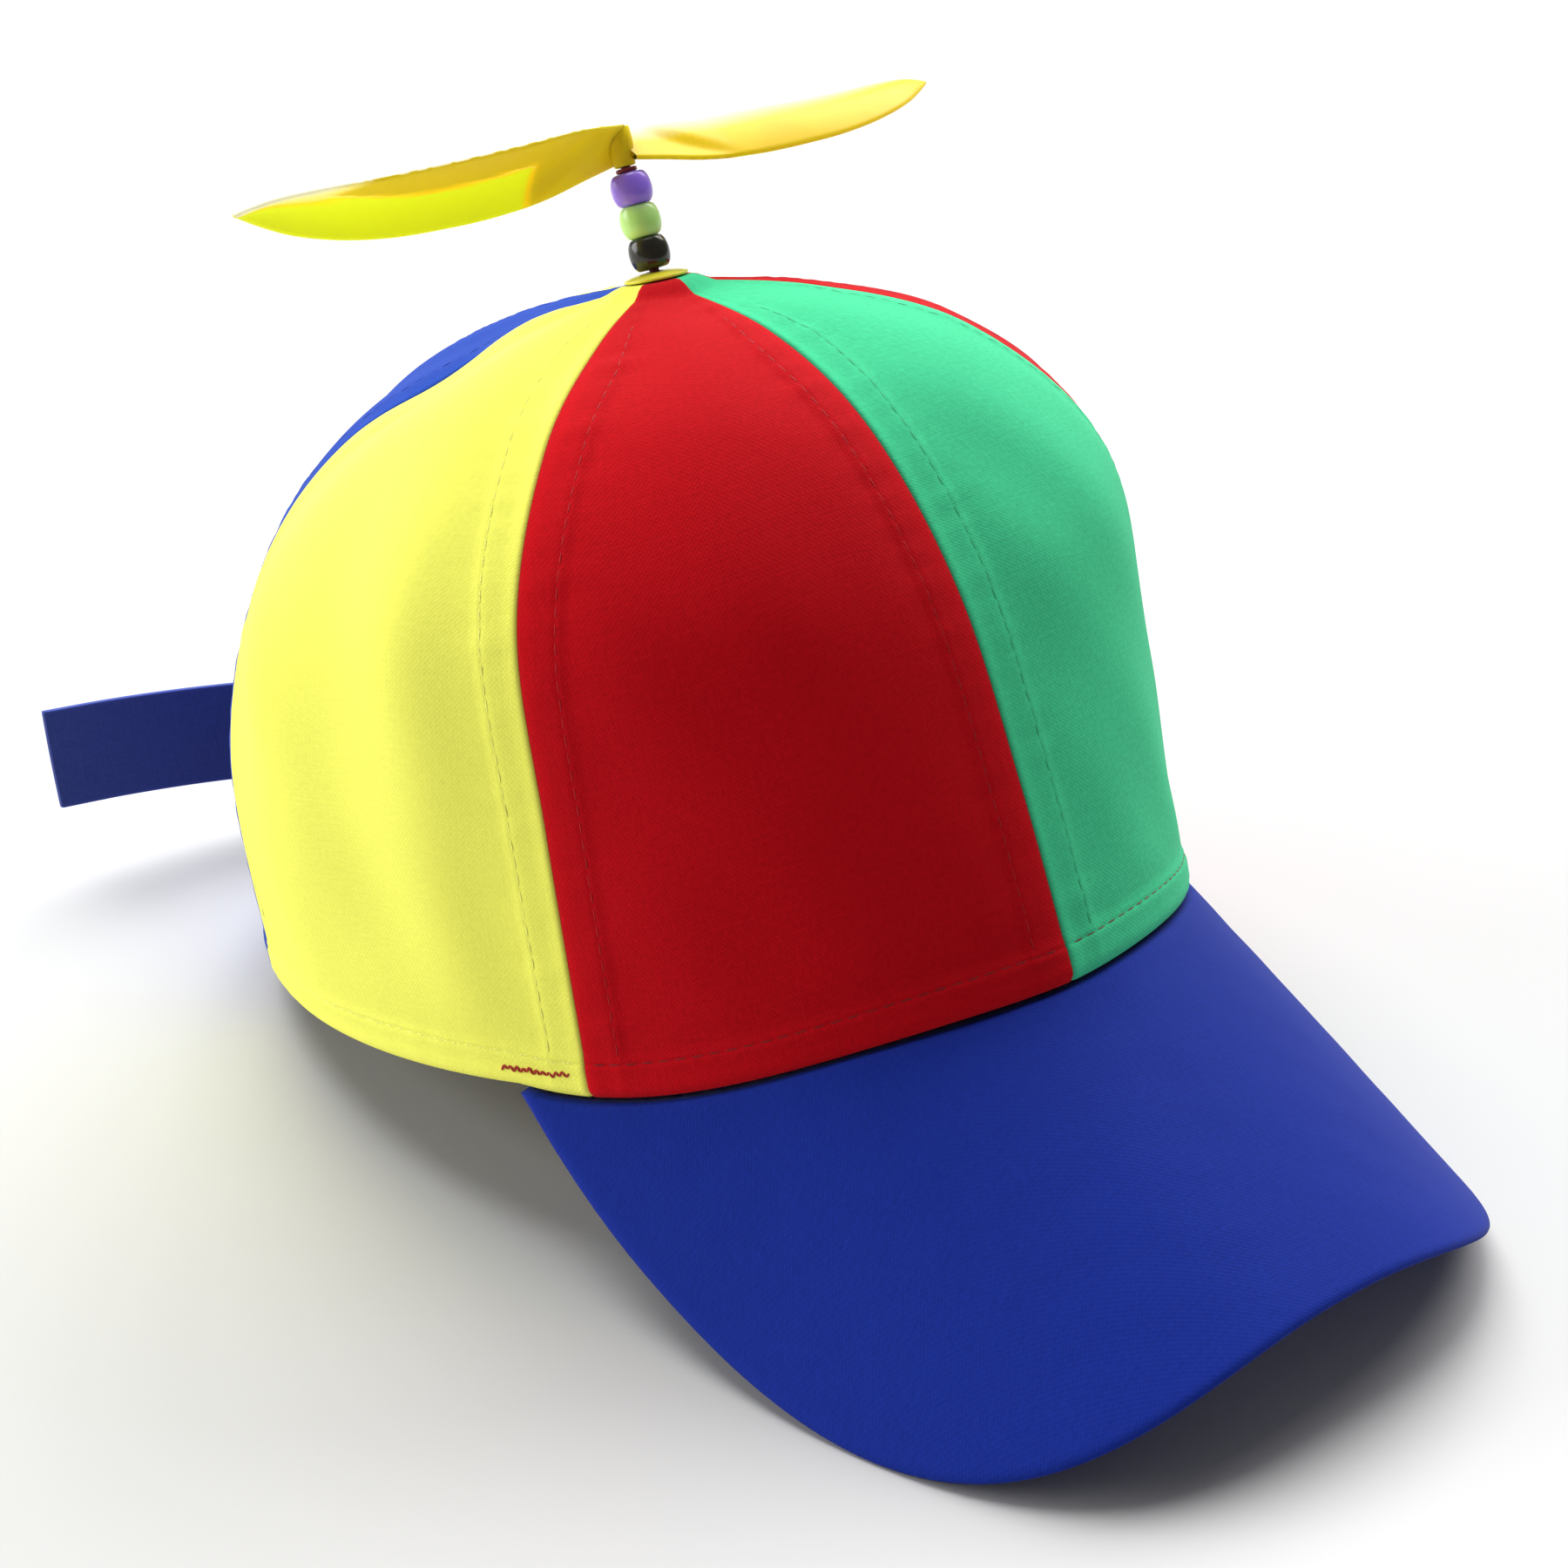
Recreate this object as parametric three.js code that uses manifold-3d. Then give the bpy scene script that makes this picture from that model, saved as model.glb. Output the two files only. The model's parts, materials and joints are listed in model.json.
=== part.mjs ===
// A propeller beanie: a six-panel cotton cap with a curved visor and an open strap at the back,
// and on its top a two-bladed plastic propeller that turns on a pin above three beads.
// Millimetres. +Z is up, the visor points towards -Y and the wearer's left is +X. The cap lies
// on the plane z = 0, on the low sides of its visor and on the back of its hem.
import * as THREE from "three";
import { mergeVertices } from "three/addons/utils/BufferGeometryUtils.js";
import Module from "manifold-3d";

const wasm = await Module();
wasm.setup();

// The crown
const RIM_HALF_WIDTH = 78.9;
const RIM_HALF_LENGTH = 101.7;
const CROWN_HEIGHT = 122.4;
const TOP_FORWARD = 15.5; // how far the top of the crown lies in front of the rim's middle
const TOP_SIDE = -1.6; // and how far to one side of it
const FRONT_SEAM = 58.4; // degrees round from the middle of the front
const BACK_SEAM = 118.2;
const CLOTH = 1.2;
const HEM_THICKNESS = 2.0;
const HEM_HEIGHT = 9;
const TOP_HOLE = 1.5; // radius left open where the panels meet round the pin
const PANEL_PUFF = 1.2; // how far the middle of a panel stands out between its seams
const FOLD_DEPTH = 3;
const RIM_CLIMB = 1.8; // how fast the cloth rises near the rim: its height over its share of the climb
const GAP = 0.3; // between pieces that touch

// The arch over the strap, cut into the two back panels
const ARCH_HALF_WIDTH = 37;
const ARCH_HEIGHT = 40;

// The visor
const VISOR_TURN = 66.9; // degrees round the rim at which the visor's sides end
const VISOR_LENGTH = 54.8; // seen from above, from the rim to the middle of the front edge
const VISOR_HALF_WIDTH = 74;
const VISOR_SLOPE = 36.5; // degrees down along the middle
const VISOR_DROP = 54.6; // how much lower it hangs at its full half width
const VISOR_DROP_POWER = 2.37;
const VISOR_SQUARENESS = 3.02; // 2 is a half ellipse, more is squarer
const VISOR_FLARE_LENGTH = 30; // over which its sides swing out from the rim
const VISOR_THICKNESS = 2.2;
const VISOR_LIP = 3; // the part of it sewn under the hem

// The strap at the back, sewn inside the left back panel and lying open
const STRAP_WIDTH = 21;
const STRAP_THICKNESS = 1.4;
const STRAP_LAP = 8; // degrees of the rim along which it is sewn on
const STRAP_SEAT = 0.7; // between the strap and the inside of the hem
const STRAP_RAISE = 3; // from the rim to the strap's lower edge
const STRAP_FREE_LENGTH = 119;
const STRAP_CURL = 35; // degrees that it bends towards the head along its free length
const STRAP_RISE = 6.5; // degrees that its free end climbs
const STRAP_LEAN = 10; // degrees that its free end leans back

// The pin, its plate and the beads
const PIN_TILT_BACK = 12.3; // degrees
const PIN_TILT_SIDE = 0.3;
const PIN_RADIUS = 0.9;
const PIN_CLEARANCE = 0.3;
const PLATE_RADIUS = 5.8;
const PLATE_HEIGHT = 1.2;
const PLATE_TILT = 5; // degrees back: it lies on the crown, flatter than the pin stands
const PLATE_PRESS = 1.8; // how far round the plate its pressure shapes the cloth, in plate radii
const BEAD_RADIUS = 3.65;
const BEAD_HEIGHT = 5.45;
const BEAD_FACE = 0.66; // a bead's flat ends, as a share of its radius
const WASHER_RADIUS = 1.9;
const WASHER_HEIGHT = 0.7;
const HEAD_RADIUS = 1.5;
const HEAD_HEIGHT = 0.8;
const FOOT_RADIUS = 3.2; // inside the crown

// The propeller
const BLADE_LENGTH = 88;
const BLADE_WIDTH = 18;
const BLADE_THICKNESS = 1.0;
const BLADE_CAMBER = 2.2;
const BLADE_ROOT_PITCH = 48.8; // degrees
const BLADE_TIP_PITCH = 21.6;
const BLADE_HEADING = 11.5; // degrees round the pin from +X
const BLADE_SEAT = 4.3; // from the bottom of the hub to the line that the blades turn about
const HUB_RADIUS = 2.5;
const HUB_FOOT_RADIUS = 1.9;
const HUB_HEIGHT = 6.8;

// How far the cloth is pressed flat where it rests
const SETTLE = 1.0;

// Sections of the crown, one row for each turn round it. Each pair is the reach, a share of the
// rim's, and the rise, a share of the crown's height, at even steps from the rim to the top.
const SECTIONS = [
  { turn: -120, reach: [1, 1.0, 0.866, 0.659, 0.349, 0], rise: [0, 0.355, 0.635, 0.815, 0.926, 1] },
  { turn: -60, reach: [1, 0.997, 0.968, 0.699, 0.35, 0], rise: [0, 0.379, 0.661, 0.858, 0.954, 1] },
  { turn: 0, reach: [1, 0.917, 0.806, 0.608, 0.341, 0], rise: [0, 0.29, 0.576, 0.801, 0.933, 1] },
  { turn: 60, reach: [1, 0.997, 0.968, 0.699, 0.35, 0], rise: [0, 0.379, 0.661, 0.858, 0.954, 1] },
  { turn: 120, reach: [1, 1.0, 0.866, 0.659, 0.349, 0], rise: [0, 0.355, 0.635, 0.815, 0.926, 1] },
  { turn: 180, reach: [1, 0.958, 0.824, 0.621, 0.337, 0], rise: [0, 0.339, 0.623, 0.842, 0.944, 1] },
];

// Soft folds in the cloth: where each is, its half width in degrees and its half height as
// shares of the climb, and its depth as a share of FOLD_DEPTH (positive stands out).
const FOLDS = [
  { turn: -72, climb: 0.3, wide: 5, tall: 0.26, deep: 0.5 },
  { turn: -84, climb: 0.32, wide: 6, tall: 0.28, deep: -0.6 },
  { turn: -97, climb: 0.3, wide: 7, tall: 0.3, deep: 0.6 },
  { turn: -106, climb: 0.62, wide: 8, tall: 0.14, deep: -0.5 },
  { turn: -112, climb: 0.73, wide: 8, tall: 0.06, deep: -0.5 },
  { turn: -114, climb: 0.86, wide: 9, tall: 0.06, deep: 0.6 },
  { turn: 78, climb: 0.4, wide: 12, tall: 0.25, deep: 0.7 },
  { turn: 98, climb: 0.22, wide: 9, tall: 0.2, deep: -0.5 },
  { turn: 146, climb: 0.6, wide: 14, tall: 0.2, deep: -0.7 },
  { turn: -148, climb: 0.55, wide: 12, tall: 0.22, deep: -0.6 },
];

const PANELS = [
  { name: "panel_front_right", from: -FRONT_SEAM, to: 0, color: "#d81d2e" },
  { name: "panel_front_left", from: 0, to: FRONT_SEAM, color: "#3fc48d" },
  { name: "panel_side_right", from: -BACK_SEAM, to: -FRONT_SEAM, color: "#f4f260" },
  { name: "panel_side_left", from: FRONT_SEAM, to: BACK_SEAM, color: "#d81d2e" },
  { name: "panel_back_right", from: -180, to: -BACK_SEAM, color: "#3350b8" },
  { name: "panel_back_left", from: BACK_SEAM, to: 180, color: "#f4f260" },
];

const BEADS = [
  { name: "bead_black", color: "#26261e" },
  { name: "bead_green", color: "#a6dc66" },
  { name: "bead_purple", color: "#6448c4" },
];

// Stations along a blade: the place as a share of its length, the offsets of its high and low
// edges as shares of its width, and its camber as a share of BLADE_CAMBER.
const BLADE_STATIONS = [
  { along: 0.0, high: 0.198, low: 0.266, camber: 0 },
  { along: 0.07, high: 0.227, low: 0.362, camber: 0 },
  { along: 0.16, high: 0.229, low: 0.506, camber: 0.2 },
  { along: 0.28, high: 0.194, low: 0.631, camber: 0.7 },
  { along: 0.42, high: 0.165, low: 0.697, camber: 1 },
  { along: 0.56, high: 0.147, low: 0.712, camber: 1 },
  { along: 0.7, high: 0.142, low: 0.628, camber: 1 },
  { along: 0.82, high: 0.152, low: 0.46, camber: 0.9 },
  { along: 0.92, high: 0.124, low: 0.232, camber: 0.6 },
  { along: 1.0, high: 0.018, low: 0.011, camber: 0 },
];

// The plate's outer profile and the pin's head, as shares of their radius and height
const PLATE_PROFILE = [
  { reach: 1, rise: 0 },
  { reach: 1, rise: 0.4 },
  { reach: 0.72, rise: 0.8 },
  { reach: 0.45, rise: 1 },
];
const HEAD_PROFILE = [
  { reach: 1, rise: 0 },
  { reach: 0.7, rise: 0.8 },
  { reach: 0, rise: 1 },
];

const COLUMNS_PER_PANEL = 12;
const ROWS_PER_PANEL = 12; // up to the cloth that the plate presses
const PRESSED_ROWS = [1.45, 1.1, 0.6]; // the rows above them, in plate radii from the pin
const VISOR_ROWS = 8;
const BLADE_COLUMNS = 6;
const STRAP_STEPS = 8;
const STRAP_LAP_STEPS = 3;
const BEAD_BANDS = 6;
const ROUND_SIDES = 16;

const FLAT_RIM = (3 * HEM_HEIGHT) / (CROWN_HEIGHT * RIM_CLIMB); // the climb below which folds fade out

const radians = THREE.MathUtils.degToRad;
const lerp = THREE.MathUtils.lerp;
const point = (x, y, z) => new THREE.Vector3(x, y, z);

// Evenly spaced numbers, both ends counted
function spaced(from, to, cells) {
  return Array.from({ length: cells + 1 }, (_, i) => lerp(from, to, i / cells));
}

// The visor's sheet: it slopes down to the front and curls down to both sides. Its height is 0
// where its sides end on the rim.
function visorSheet(x, y) {
  const slope = Math.tan(radians(VISOR_SLOPE)) * (y + RIM_HALF_LENGTH);
  const curl = VISOR_DROP * Math.pow(Math.abs(x) / VISOR_HALF_WIDTH, VISOR_DROP_POWER);
  return slope - curl;
}

const visorEnd = {
  x: RIM_HALF_WIDTH * Math.sin(radians(VISOR_TURN)),
  y: -RIM_HALF_LENGTH * Math.cos(radians(VISOR_TURN)),
};
const visorEndSheet = visorSheet(visorEnd.x, visorEnd.y);

function visorHeight(x, y) {
  return visorSheet(x, y) - visorEndSheet;
}

// The lower edge of the crown, level at the sides and back, and raised by the visor in front
function rimPoint(turn, inset = 0) {
  const side = Math.sin(radians(turn));
  const back = -Math.cos(radians(turn));
  const overVisor = Math.abs(turn) < VISOR_TURN;
  const z = overVisor ? visorHeight(RIM_HALF_WIDTH * side, RIM_HALF_LENGTH * back) : 0;
  return point((RIM_HALF_WIDTH - inset) * side, (RIM_HALF_LENGTH - inset) * back, z);
}

const top = point(TOP_SIDE, -TOP_FORWARD, CROWN_HEIGHT);

const profiles = SECTIONS.map(
  ({ reach, rise }) => new THREE.SplineCurve(reach.map((r, i) => new THREE.Vector2(r, rise[i]))),
);

// How much each section counts at a turn: 1 on its own turn, 0 on the others', smooth between
function sectionWeight(turn, section) {
  const half = radians(turn - section.turn) / 2;
  const count = SECTIONS.length;
  return Math.abs(Math.sin(half)) < 1e-6 ? 1 : Math.sin(count * half) / (count * Math.tan(half));
}

function crownBase(turn, climb) {
  const share = new THREE.Vector2();
  profiles.forEach((profile, i) => {
    share.addScaledVector(profile.getPoint(climb), sectionWeight(turn, SECTIONS[i]));
  });
  const rim = rimPoint(turn);
  return point(
    lerp(top.x, rim.x, share.x),
    lerp(top.y, rim.y, share.x),
    lerp(rim.z, CROWN_HEIGHT, share.y),
  );
}

function crownNormal(turn, climb) {
  const low = Math.max(climb - 0.01, 0);
  const round = crownBase(turn + 0.5, climb).sub(crownBase(turn - 0.5, climb));
  const up = crownBase(turn, low + 0.02).sub(crownBase(turn, low));
  return round.cross(up).normalize();
}

// How far the cloth stands out from the smooth crown: each panel puffs out, and folds cross it
function crownRelief(turn, climb) {
  const seams = [-180, -BACK_SEAM, -FRONT_SEAM, 0, FRONT_SEAM, BACK_SEAM, 180];
  const next = Math.max(seams.findIndex((seam) => seam > turn), 1);
  const across = (turn - seams[next - 1]) / (seams[next] - seams[next - 1]);
  const rise = Math.sin(Math.PI * climb);
  const puff = PANEL_PUFF * Math.sin(Math.PI * THREE.MathUtils.clamp(across, 0, 1)) * rise;
  return FOLDS.reduce((sum, fold) => {
    const far = ((turn - fold.turn) / fold.wide) ** 2 + ((climb - fold.climb) / fold.tall) ** 2;
    return sum + FOLD_DEPTH * fold.deep * Math.exp(-far);
  }, puff);
}

function wallThickness(climb) {
  const height = climb * CROWN_HEIGHT * RIM_CLIMB;
  return lerp(HEM_THICKNESS, CLOTH, THREE.MathUtils.smoothstep(height, HEM_HEIGHT, 2 * HEM_HEIGHT));
}

// Round the pin the cloth is pressed to the plate's underside
function pressed(place, depth) {
  const far = Math.hypot(place.x - top.x, place.y - top.y) / PLATE_RADIUS;
  const seat = top.z - depth - Math.tan(radians(PLATE_TILT)) * (place.y - top.y);
  return place.setZ(lerp(seat, place.z, THREE.MathUtils.smoothstep(far, 1, PLATE_PRESS)));
}

// A point of the crown's cloth, `depth` in from its outer face. At the rim it stays on the rim.
function crownPoint(turn, climb, depth = 0) {
  if (climb === 0) return rimPoint(turn, depth);
  const edge = THREE.MathUtils.smoothstep(climb, 0, FLAT_RIM);
  const out = crownRelief(turn, climb) * edge - depth;
  const place = crownBase(turn, climb).addScaledVector(crownNormal(turn, climb), out);
  return pressed(place, depth);
}

// The climb at which the crown's reach has shrunk to a radius round the top
function climbAtRadius(turn, radius) {
  let low = 0.5;
  let high = 1;
  for (let i = 0; i < 30; i += 1) {
    const middle = (low + high) / 2;
    const here = crownBase(turn, middle);
    if (Math.hypot(here.x - top.x, here.y - top.y) > radius) low = middle;
    else high = middle;
  }
  return high;
}

// A closed body from two grids of points that face each other, joined along their edges
function shellGeometry(front, back) {
  const rows = front.length;
  const columns = front[0].length;
  const positions = [...front.flat(), ...back.flat()].flatMap((p) => [p.x, p.y, p.z]);
  const at = (side, row, column) => (side * rows + row) * columns + column;
  const index = [];
  const quad = (a, b, c, d) => index.push(a, b, c, a, c, d);
  for (let r = 0; r < rows - 1; r += 1) {
    for (let c = 0; c < columns - 1; c += 1) {
      quad(at(0, r, c), at(0, r, c + 1), at(0, r + 1, c + 1), at(0, r + 1, c));
      quad(at(1, r + 1, c), at(1, r + 1, c + 1), at(1, r, c + 1), at(1, r, c));
    }
  }
  for (let c = 0; c < columns - 1; c += 1) {
    quad(at(0, 0, c + 1), at(0, 0, c), at(1, 0, c), at(1, 0, c + 1));
    quad(at(0, rows - 1, c), at(0, rows - 1, c + 1), at(1, rows - 1, c + 1), at(1, rows - 1, c));
  }
  for (let r = 0; r < rows - 1; r += 1) {
    quad(at(0, r, 0), at(0, r + 1, 0), at(1, r + 1, 0), at(1, r, 0));
    quad(at(0, r + 1, columns - 1), at(0, r, columns - 1), at(1, r, columns - 1), at(1, r + 1, columns - 1));
  }
  const geometry = new THREE.BufferGeometry();
  geometry.setAttribute("position", new THREE.Float32BufferAttribute(positions, 3));
  geometry.setIndex(index);
  return geometry;
}

function solidOf(geometry) {
  const bare = geometry.clone();
  bare.deleteAttribute("normal");
  bare.deleteAttribute("uv");
  const merged = mergeVertices(bare, 1e-4);
  return new wasm.Manifold(
    new wasm.Mesh({
      numProp: 3,
      vertProperties: new Float32Array(merged.attributes.position.array),
      triVerts: new Uint32Array(merged.index.array),
    }),
  );
}

function geometryOf(solid) {
  const mesh = solid.getMesh();
  const geometry = new THREE.BufferGeometry();
  geometry.setAttribute("position", new THREE.BufferAttribute(mesh.vertProperties, mesh.numProp));
  geometry.setIndex(new THREE.BufferAttribute(mesh.triVerts, 1));
  geometry.computeVertexNormals();
  return geometry;
}

function makeMesh(name, geometry, color, roughness) {
  const material = new THREE.MeshStandardMaterial({ color, roughness, metalness: 0 });
  const mesh = new THREE.Mesh(geometry, material);
  mesh.name = name;
  return mesh;
}

// How many of a side panel's columns lie over the visor
const visorShare = (VISOR_TURN - FRONT_SEAM) / (BACK_SEAM - FRONT_SEAM);
const visorColumns = Math.max(Math.round(visorShare * COLUMNS_PER_PANEL), 1);

// The turns of a panel's columns of points, with one on the visor's end
function columnTurns(panel) {
  const end = Math.sign(panel.from + panel.to) * VISOR_TURN;
  if (end <= panel.from || end >= panel.to) return spaced(panel.from, panel.to, COLUMNS_PER_PANEL);
  const others = COLUMNS_PER_PANEL - visorColumns;
  const before = end < 0 ? others : visorColumns;
  const after = COLUMNS_PER_PANEL - before;
  return [...spaced(panel.from, end, before), ...spaced(end, panel.to, after).slice(1)];
}

// One panel of the crown: a thin shell between two seams, from the hem up to the hole at the top
function panelGeometry(panel) {
  const turns = columnTurns(panel);
  const middle = (panel.from + panel.to) / 2;
  const climbs = [
    ...spaced(0, climbAtRadius(middle, PLATE_PRESS * PLATE_RADIUS), ROWS_PER_PANEL),
    ...PRESSED_ROWS.map((share) => climbAtRadius(middle, share * PLATE_RADIUS)),
    climbAtRadius(middle, TOP_HOLE),
  ];
  const grid = (inner) =>
    climbs.map((climb) => {
      const base = crownBase(middle, climb);
      const radius = Math.hypot(base.x - top.x, base.y - top.y);
      const inset = THREE.MathUtils.radToDeg(GAP / 2 / radius);
      const depth = inner ? wallThickness(climb) : 0;
      return turns.map((turn) => {
        const share = (turn - panel.from) / (panel.to - panel.from);
        return crownPoint(lerp(panel.from + inset, panel.to - inset, share), climb, depth);
      });
    });
  return shellGeometry(grid(false), grid(true));
}

// The arch is cut straight through the back, along Y
function archGeometry() {
  const shape = new THREE.Shape();
  const shoulder = ARCH_HEIGHT - ARCH_HALF_WIDTH;
  shape.moveTo(-ARCH_HALF_WIDTH, -ARCH_HEIGHT);
  shape.lineTo(ARCH_HALF_WIDTH, -ARCH_HEIGHT);
  shape.lineTo(ARCH_HALF_WIDTH, shoulder);
  shape.absarc(0, shoulder, ARCH_HALF_WIDTH, 0, Math.PI, false);
  shape.closePath();
  const options = { depth: RIM_HALF_LENGTH, bevelEnabled: false, curveSegments: 16 };
  return new THREE.ExtrudeGeometry(shape, options)
    .rotateX(Math.PI / 2)
    .translate(0, 1.5 * RIM_HALF_LENGTH, 0);
}

// The outer edge of the visor: a squared half ellipse whose sides swing in to meet the rim
function visorEdge(share) {
  const angle = radians(lerp(-90, 90, share));
  const power = 2 / VISOR_SQUARENESS;
  const reach = RIM_HALF_LENGTH + visorEnd.y + VISOR_LENGTH;
  const side = Math.sign(angle) * Math.pow(Math.abs(Math.sin(angle)), power);
  const forward = Math.pow(Math.cos(angle), power) * reach;
  const swing = THREE.MathUtils.clamp(1 - forward / VISOR_FLARE_LENGTH, 0, 1) ** 2;
  const x = lerp(side * VISOR_HALF_WIDTH, Math.sign(side) * visorEnd.x, swing);
  return { x, y: visorEnd.y - forward };
}

// The turns of the rim at which the visor has a column, the same as the panels above it
function visorTurns() {
  const side = spaced(FRONT_SEAM, VISOR_TURN, visorColumns).slice(1);
  const front = spaced(0, FRONT_SEAM, COLUMNS_PER_PANEL).slice(1);
  const left = [...front, ...side];
  return [...left.map((turn) => -turn).reverse(), 0, ...left];
}

function visorGeometry() {
  const turns = visorTurns();
  const rows = [-VISOR_LIP, ...spaced(0, 1, VISOR_ROWS)];
  const grid = (depth) =>
    rows.map((row) =>
      turns.map((turn, i) => {
        const inner = rimPoint(turn, row < 0 ? VISOR_LIP : 0);
        const outer = visorEdge(i / (turns.length - 1));
        if (row < 0) return inner.setZ(inner.z - GAP - depth);
        const x = lerp(inner.x, outer.x, row);
        const y = lerp(inner.y, outer.y, row);
        return point(x, y, visorHeight(x, y) - GAP - depth);
      }),
    );
  return shellGeometry(grid(VISOR_THICKNESS), grid(0));
}

// Everything below a plane is cut away, where cloth rests on the surface
function cutBelow(solid, matrix, height) {
  const size = 6 * RIM_HALF_LENGTH;
  const box = new THREE.BoxGeometry(size, size, size).translate(0, 0, height - size / 2);
  return solid.subtract(solidOf(box.applyMatrix4(matrix)));
}

const archTurn = 180 - THREE.MathUtils.radToDeg(Math.asin(ARCH_HALF_WIDTH / RIM_HALF_WIDTH));

// The cap tips back until the visor's low sides and the hem beside the arch both touch
function restAngle(visor) {
  const back = rimPoint(archTurn);
  const place = visor.attributes.position;
  let angle = 0;
  for (let i = 0; i < place.count; i += 1) {
    const run = back.y - place.getY(i);
    if (run > RIM_HALF_LENGTH) angle = Math.max(angle, Math.atan2(back.z - place.getZ(i), run));
  }
  return { angle, back };
}

const visorShape = visorGeometry();
const rest = restAngle(visorShape);
const cap = new THREE.Group();
cap.rotation.x = -rest.angle;
const backHeight = rest.back.clone().applyEuler(cap.rotation).z;
cap.position.z = -backHeight - SETTLE;
cap.updateMatrixWorld(true);
const toCap = cap.matrixWorld.clone().invert();

const arch = solidOf(archGeometry());
PANELS.forEach((panel) => {
  let solid = solidOf(panelGeometry(panel));
  if (Math.abs(panel.from) === 180 || Math.abs(panel.to) === 180) {
    solid = cutBelow(solid.subtract(arch), toCap, 0);
  }
  cap.add(makeMesh(panel.name, geometryOf(solid), panel.color, 0.9));
});
cap.add(makeMesh("visor", geometryOf(cutBelow(solidOf(visorShape), toCap, 0)), "#2a41a8", 0.9));

// A lower and an upper point of the strap for each station: first against the inside of the
// panel, then away from it along the surface
function strapStations() {
  const depth = HEM_THICKNESS + STRAP_SEAT + STRAP_THICKNESS / 2;
  const climb = STRAP_WIDTH / (CROWN_HEIGHT * RIM_CLIMB);
  const stations = spaced(archTurn - STRAP_LAP, archTurn, STRAP_LAP_STEPS).map((turn) => {
    const rim = crownPoint(turn, 0, depth).applyMatrix4(cap.matrixWorld);
    const above = crownPoint(turn, climb, depth).applyMatrix4(cap.matrixWorld);
    const width = above.sub(rim).setLength(STRAP_WIDTH);
    return { lower: rim.addScaledVector(width, STRAP_RAISE / STRAP_WIDTH), width };
  });
  const root = stations[stations.length - 1];
  const before = stations[stations.length - 2];
  const start = Math.atan2(root.lower.y - before.lower.y, before.lower.x - root.lower.x);
  const lean = radians(STRAP_LEAN);
  const freeWidth = point(0, Math.sin(lean), Math.cos(lean)).multiplyScalar(STRAP_WIDTH);
  const rise = radians(STRAP_RISE);
  const place = root.lower.clone();
  spaced(1, STRAP_STEPS, STRAP_STEPS - 1).forEach((i) => {
    const share = (i - 0.5) / STRAP_STEPS;
    const heading = start - radians(STRAP_CURL) * share;
    const direction = point(-Math.cos(heading), Math.sin(heading), Math.tan(rise)).normalize();
    place.addScaledVector(direction, STRAP_FREE_LENGTH / STRAP_STEPS);
    const width = root.width.clone().lerp(freeWidth, i / STRAP_STEPS).setLength(STRAP_WIDTH);
    stations.push({ lower: place.clone(), width });
  });
  return stations;
}

function strapGeometry() {
  const stations = strapStations();
  const grid = (side) =>
    stations.map(({ lower, width }, i) => {
      const from = stations[Math.max(i - 1, 0)].lower;
      const to = stations[Math.min(i + 1, stations.length - 1)].lower;
      const across = to.clone().sub(from).cross(width).normalize();
      const offset = across.multiplyScalar((side * STRAP_THICKNESS) / 2);
      return [lower.clone().add(offset), lower.clone().add(width).add(offset)];
    });
  return shellGeometry(grid(-1), grid(1));
}

const strap = makeMesh("back_strap", strapGeometry(), "#1d2560", 0.9);

// A ring round the pin from an outer profile of radius and height pairs
function ringGeometry(profile, bore) {
  const inner = [profile[profile.length - 1], profile[0]].map(([, z]) => [bore, z]);
  const points = [...profile, ...inner, profile[0]].map(([r, z]) => new THREE.Vector2(r, z));
  return new THREE.LatheGeometry(points, ROUND_SIDES).rotateX(Math.PI / 2);
}

const boreRadius = PIN_RADIUS + PIN_CLEARANCE;
const lean = radians(PIN_TILT_BACK - PLATE_TILT); // between the pin and the plate's own axis
const stem = new THREE.Group();
stem.position.set(top.x, top.y, top.z + GAP);
stem.rotation.set(-radians(PIN_TILT_BACK), radians(PIN_TILT_SIDE), 0);
cap.add(stem);

// The plate spreads the pin's load over the panels' points. Its bore leaves room for the pin's lean.
function plateGeometry() {
  const profile = PLATE_PROFILE.map(({ reach, rise }) => [reach * PLATE_RADIUS, rise * PLATE_HEIGHT]);
  return ringGeometry(profile, boreRadius + PLATE_HEIGHT * Math.tan(lean));
}

function beadGeometry() {
  const half = BEAD_HEIGHT / 2;
  const profile = spaced(-90, 90, BEAD_BANDS).map((angle) => [
    lerp(BEAD_RADIUS * BEAD_FACE, BEAD_RADIUS, Math.cos(radians(angle))),
    half * (Math.sin(radians(angle)) + 1),
  ]);
  return ringGeometry(profile, boreRadius);
}

const plate = makeMesh("base_plate", plateGeometry(), "#e6d94a", 0.35);
plate.position.copy(stem.position);
plate.rotation.x = -radians(PLATE_TILT);
cap.add(plate);

// The lowest bead stands on the high side of the plate's face
const plateFace = PLATE_PROFILE[PLATE_PROFILE.length - 1].reach * PLATE_RADIUS;
const beadsBottom = PLATE_HEIGHT * Math.cos(lean) + plateFace * Math.sin(lean) + GAP;
BEADS.forEach(({ name, color }, i) => {
  const bead = makeMesh(name, beadGeometry(), color, 0.3);
  bead.position.z = beadsBottom + i * (BEAD_HEIGHT + GAP);
  stem.add(bead);
});

// A small washer between the last bead and the hub
const washerBottom = beadsBottom + BEADS.length * (BEAD_HEIGHT + GAP);
const washerProfile = [
  [WASHER_RADIUS, 0],
  [WASHER_RADIUS, WASHER_HEIGHT],
];
const washer = makeMesh("washer_red", ringGeometry(washerProfile, boreRadius), "#8e2030", 0.5);
washer.position.z = washerBottom;
stem.add(washer);
const hubBottom = washerBottom + WASHER_HEIGHT + GAP;

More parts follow.
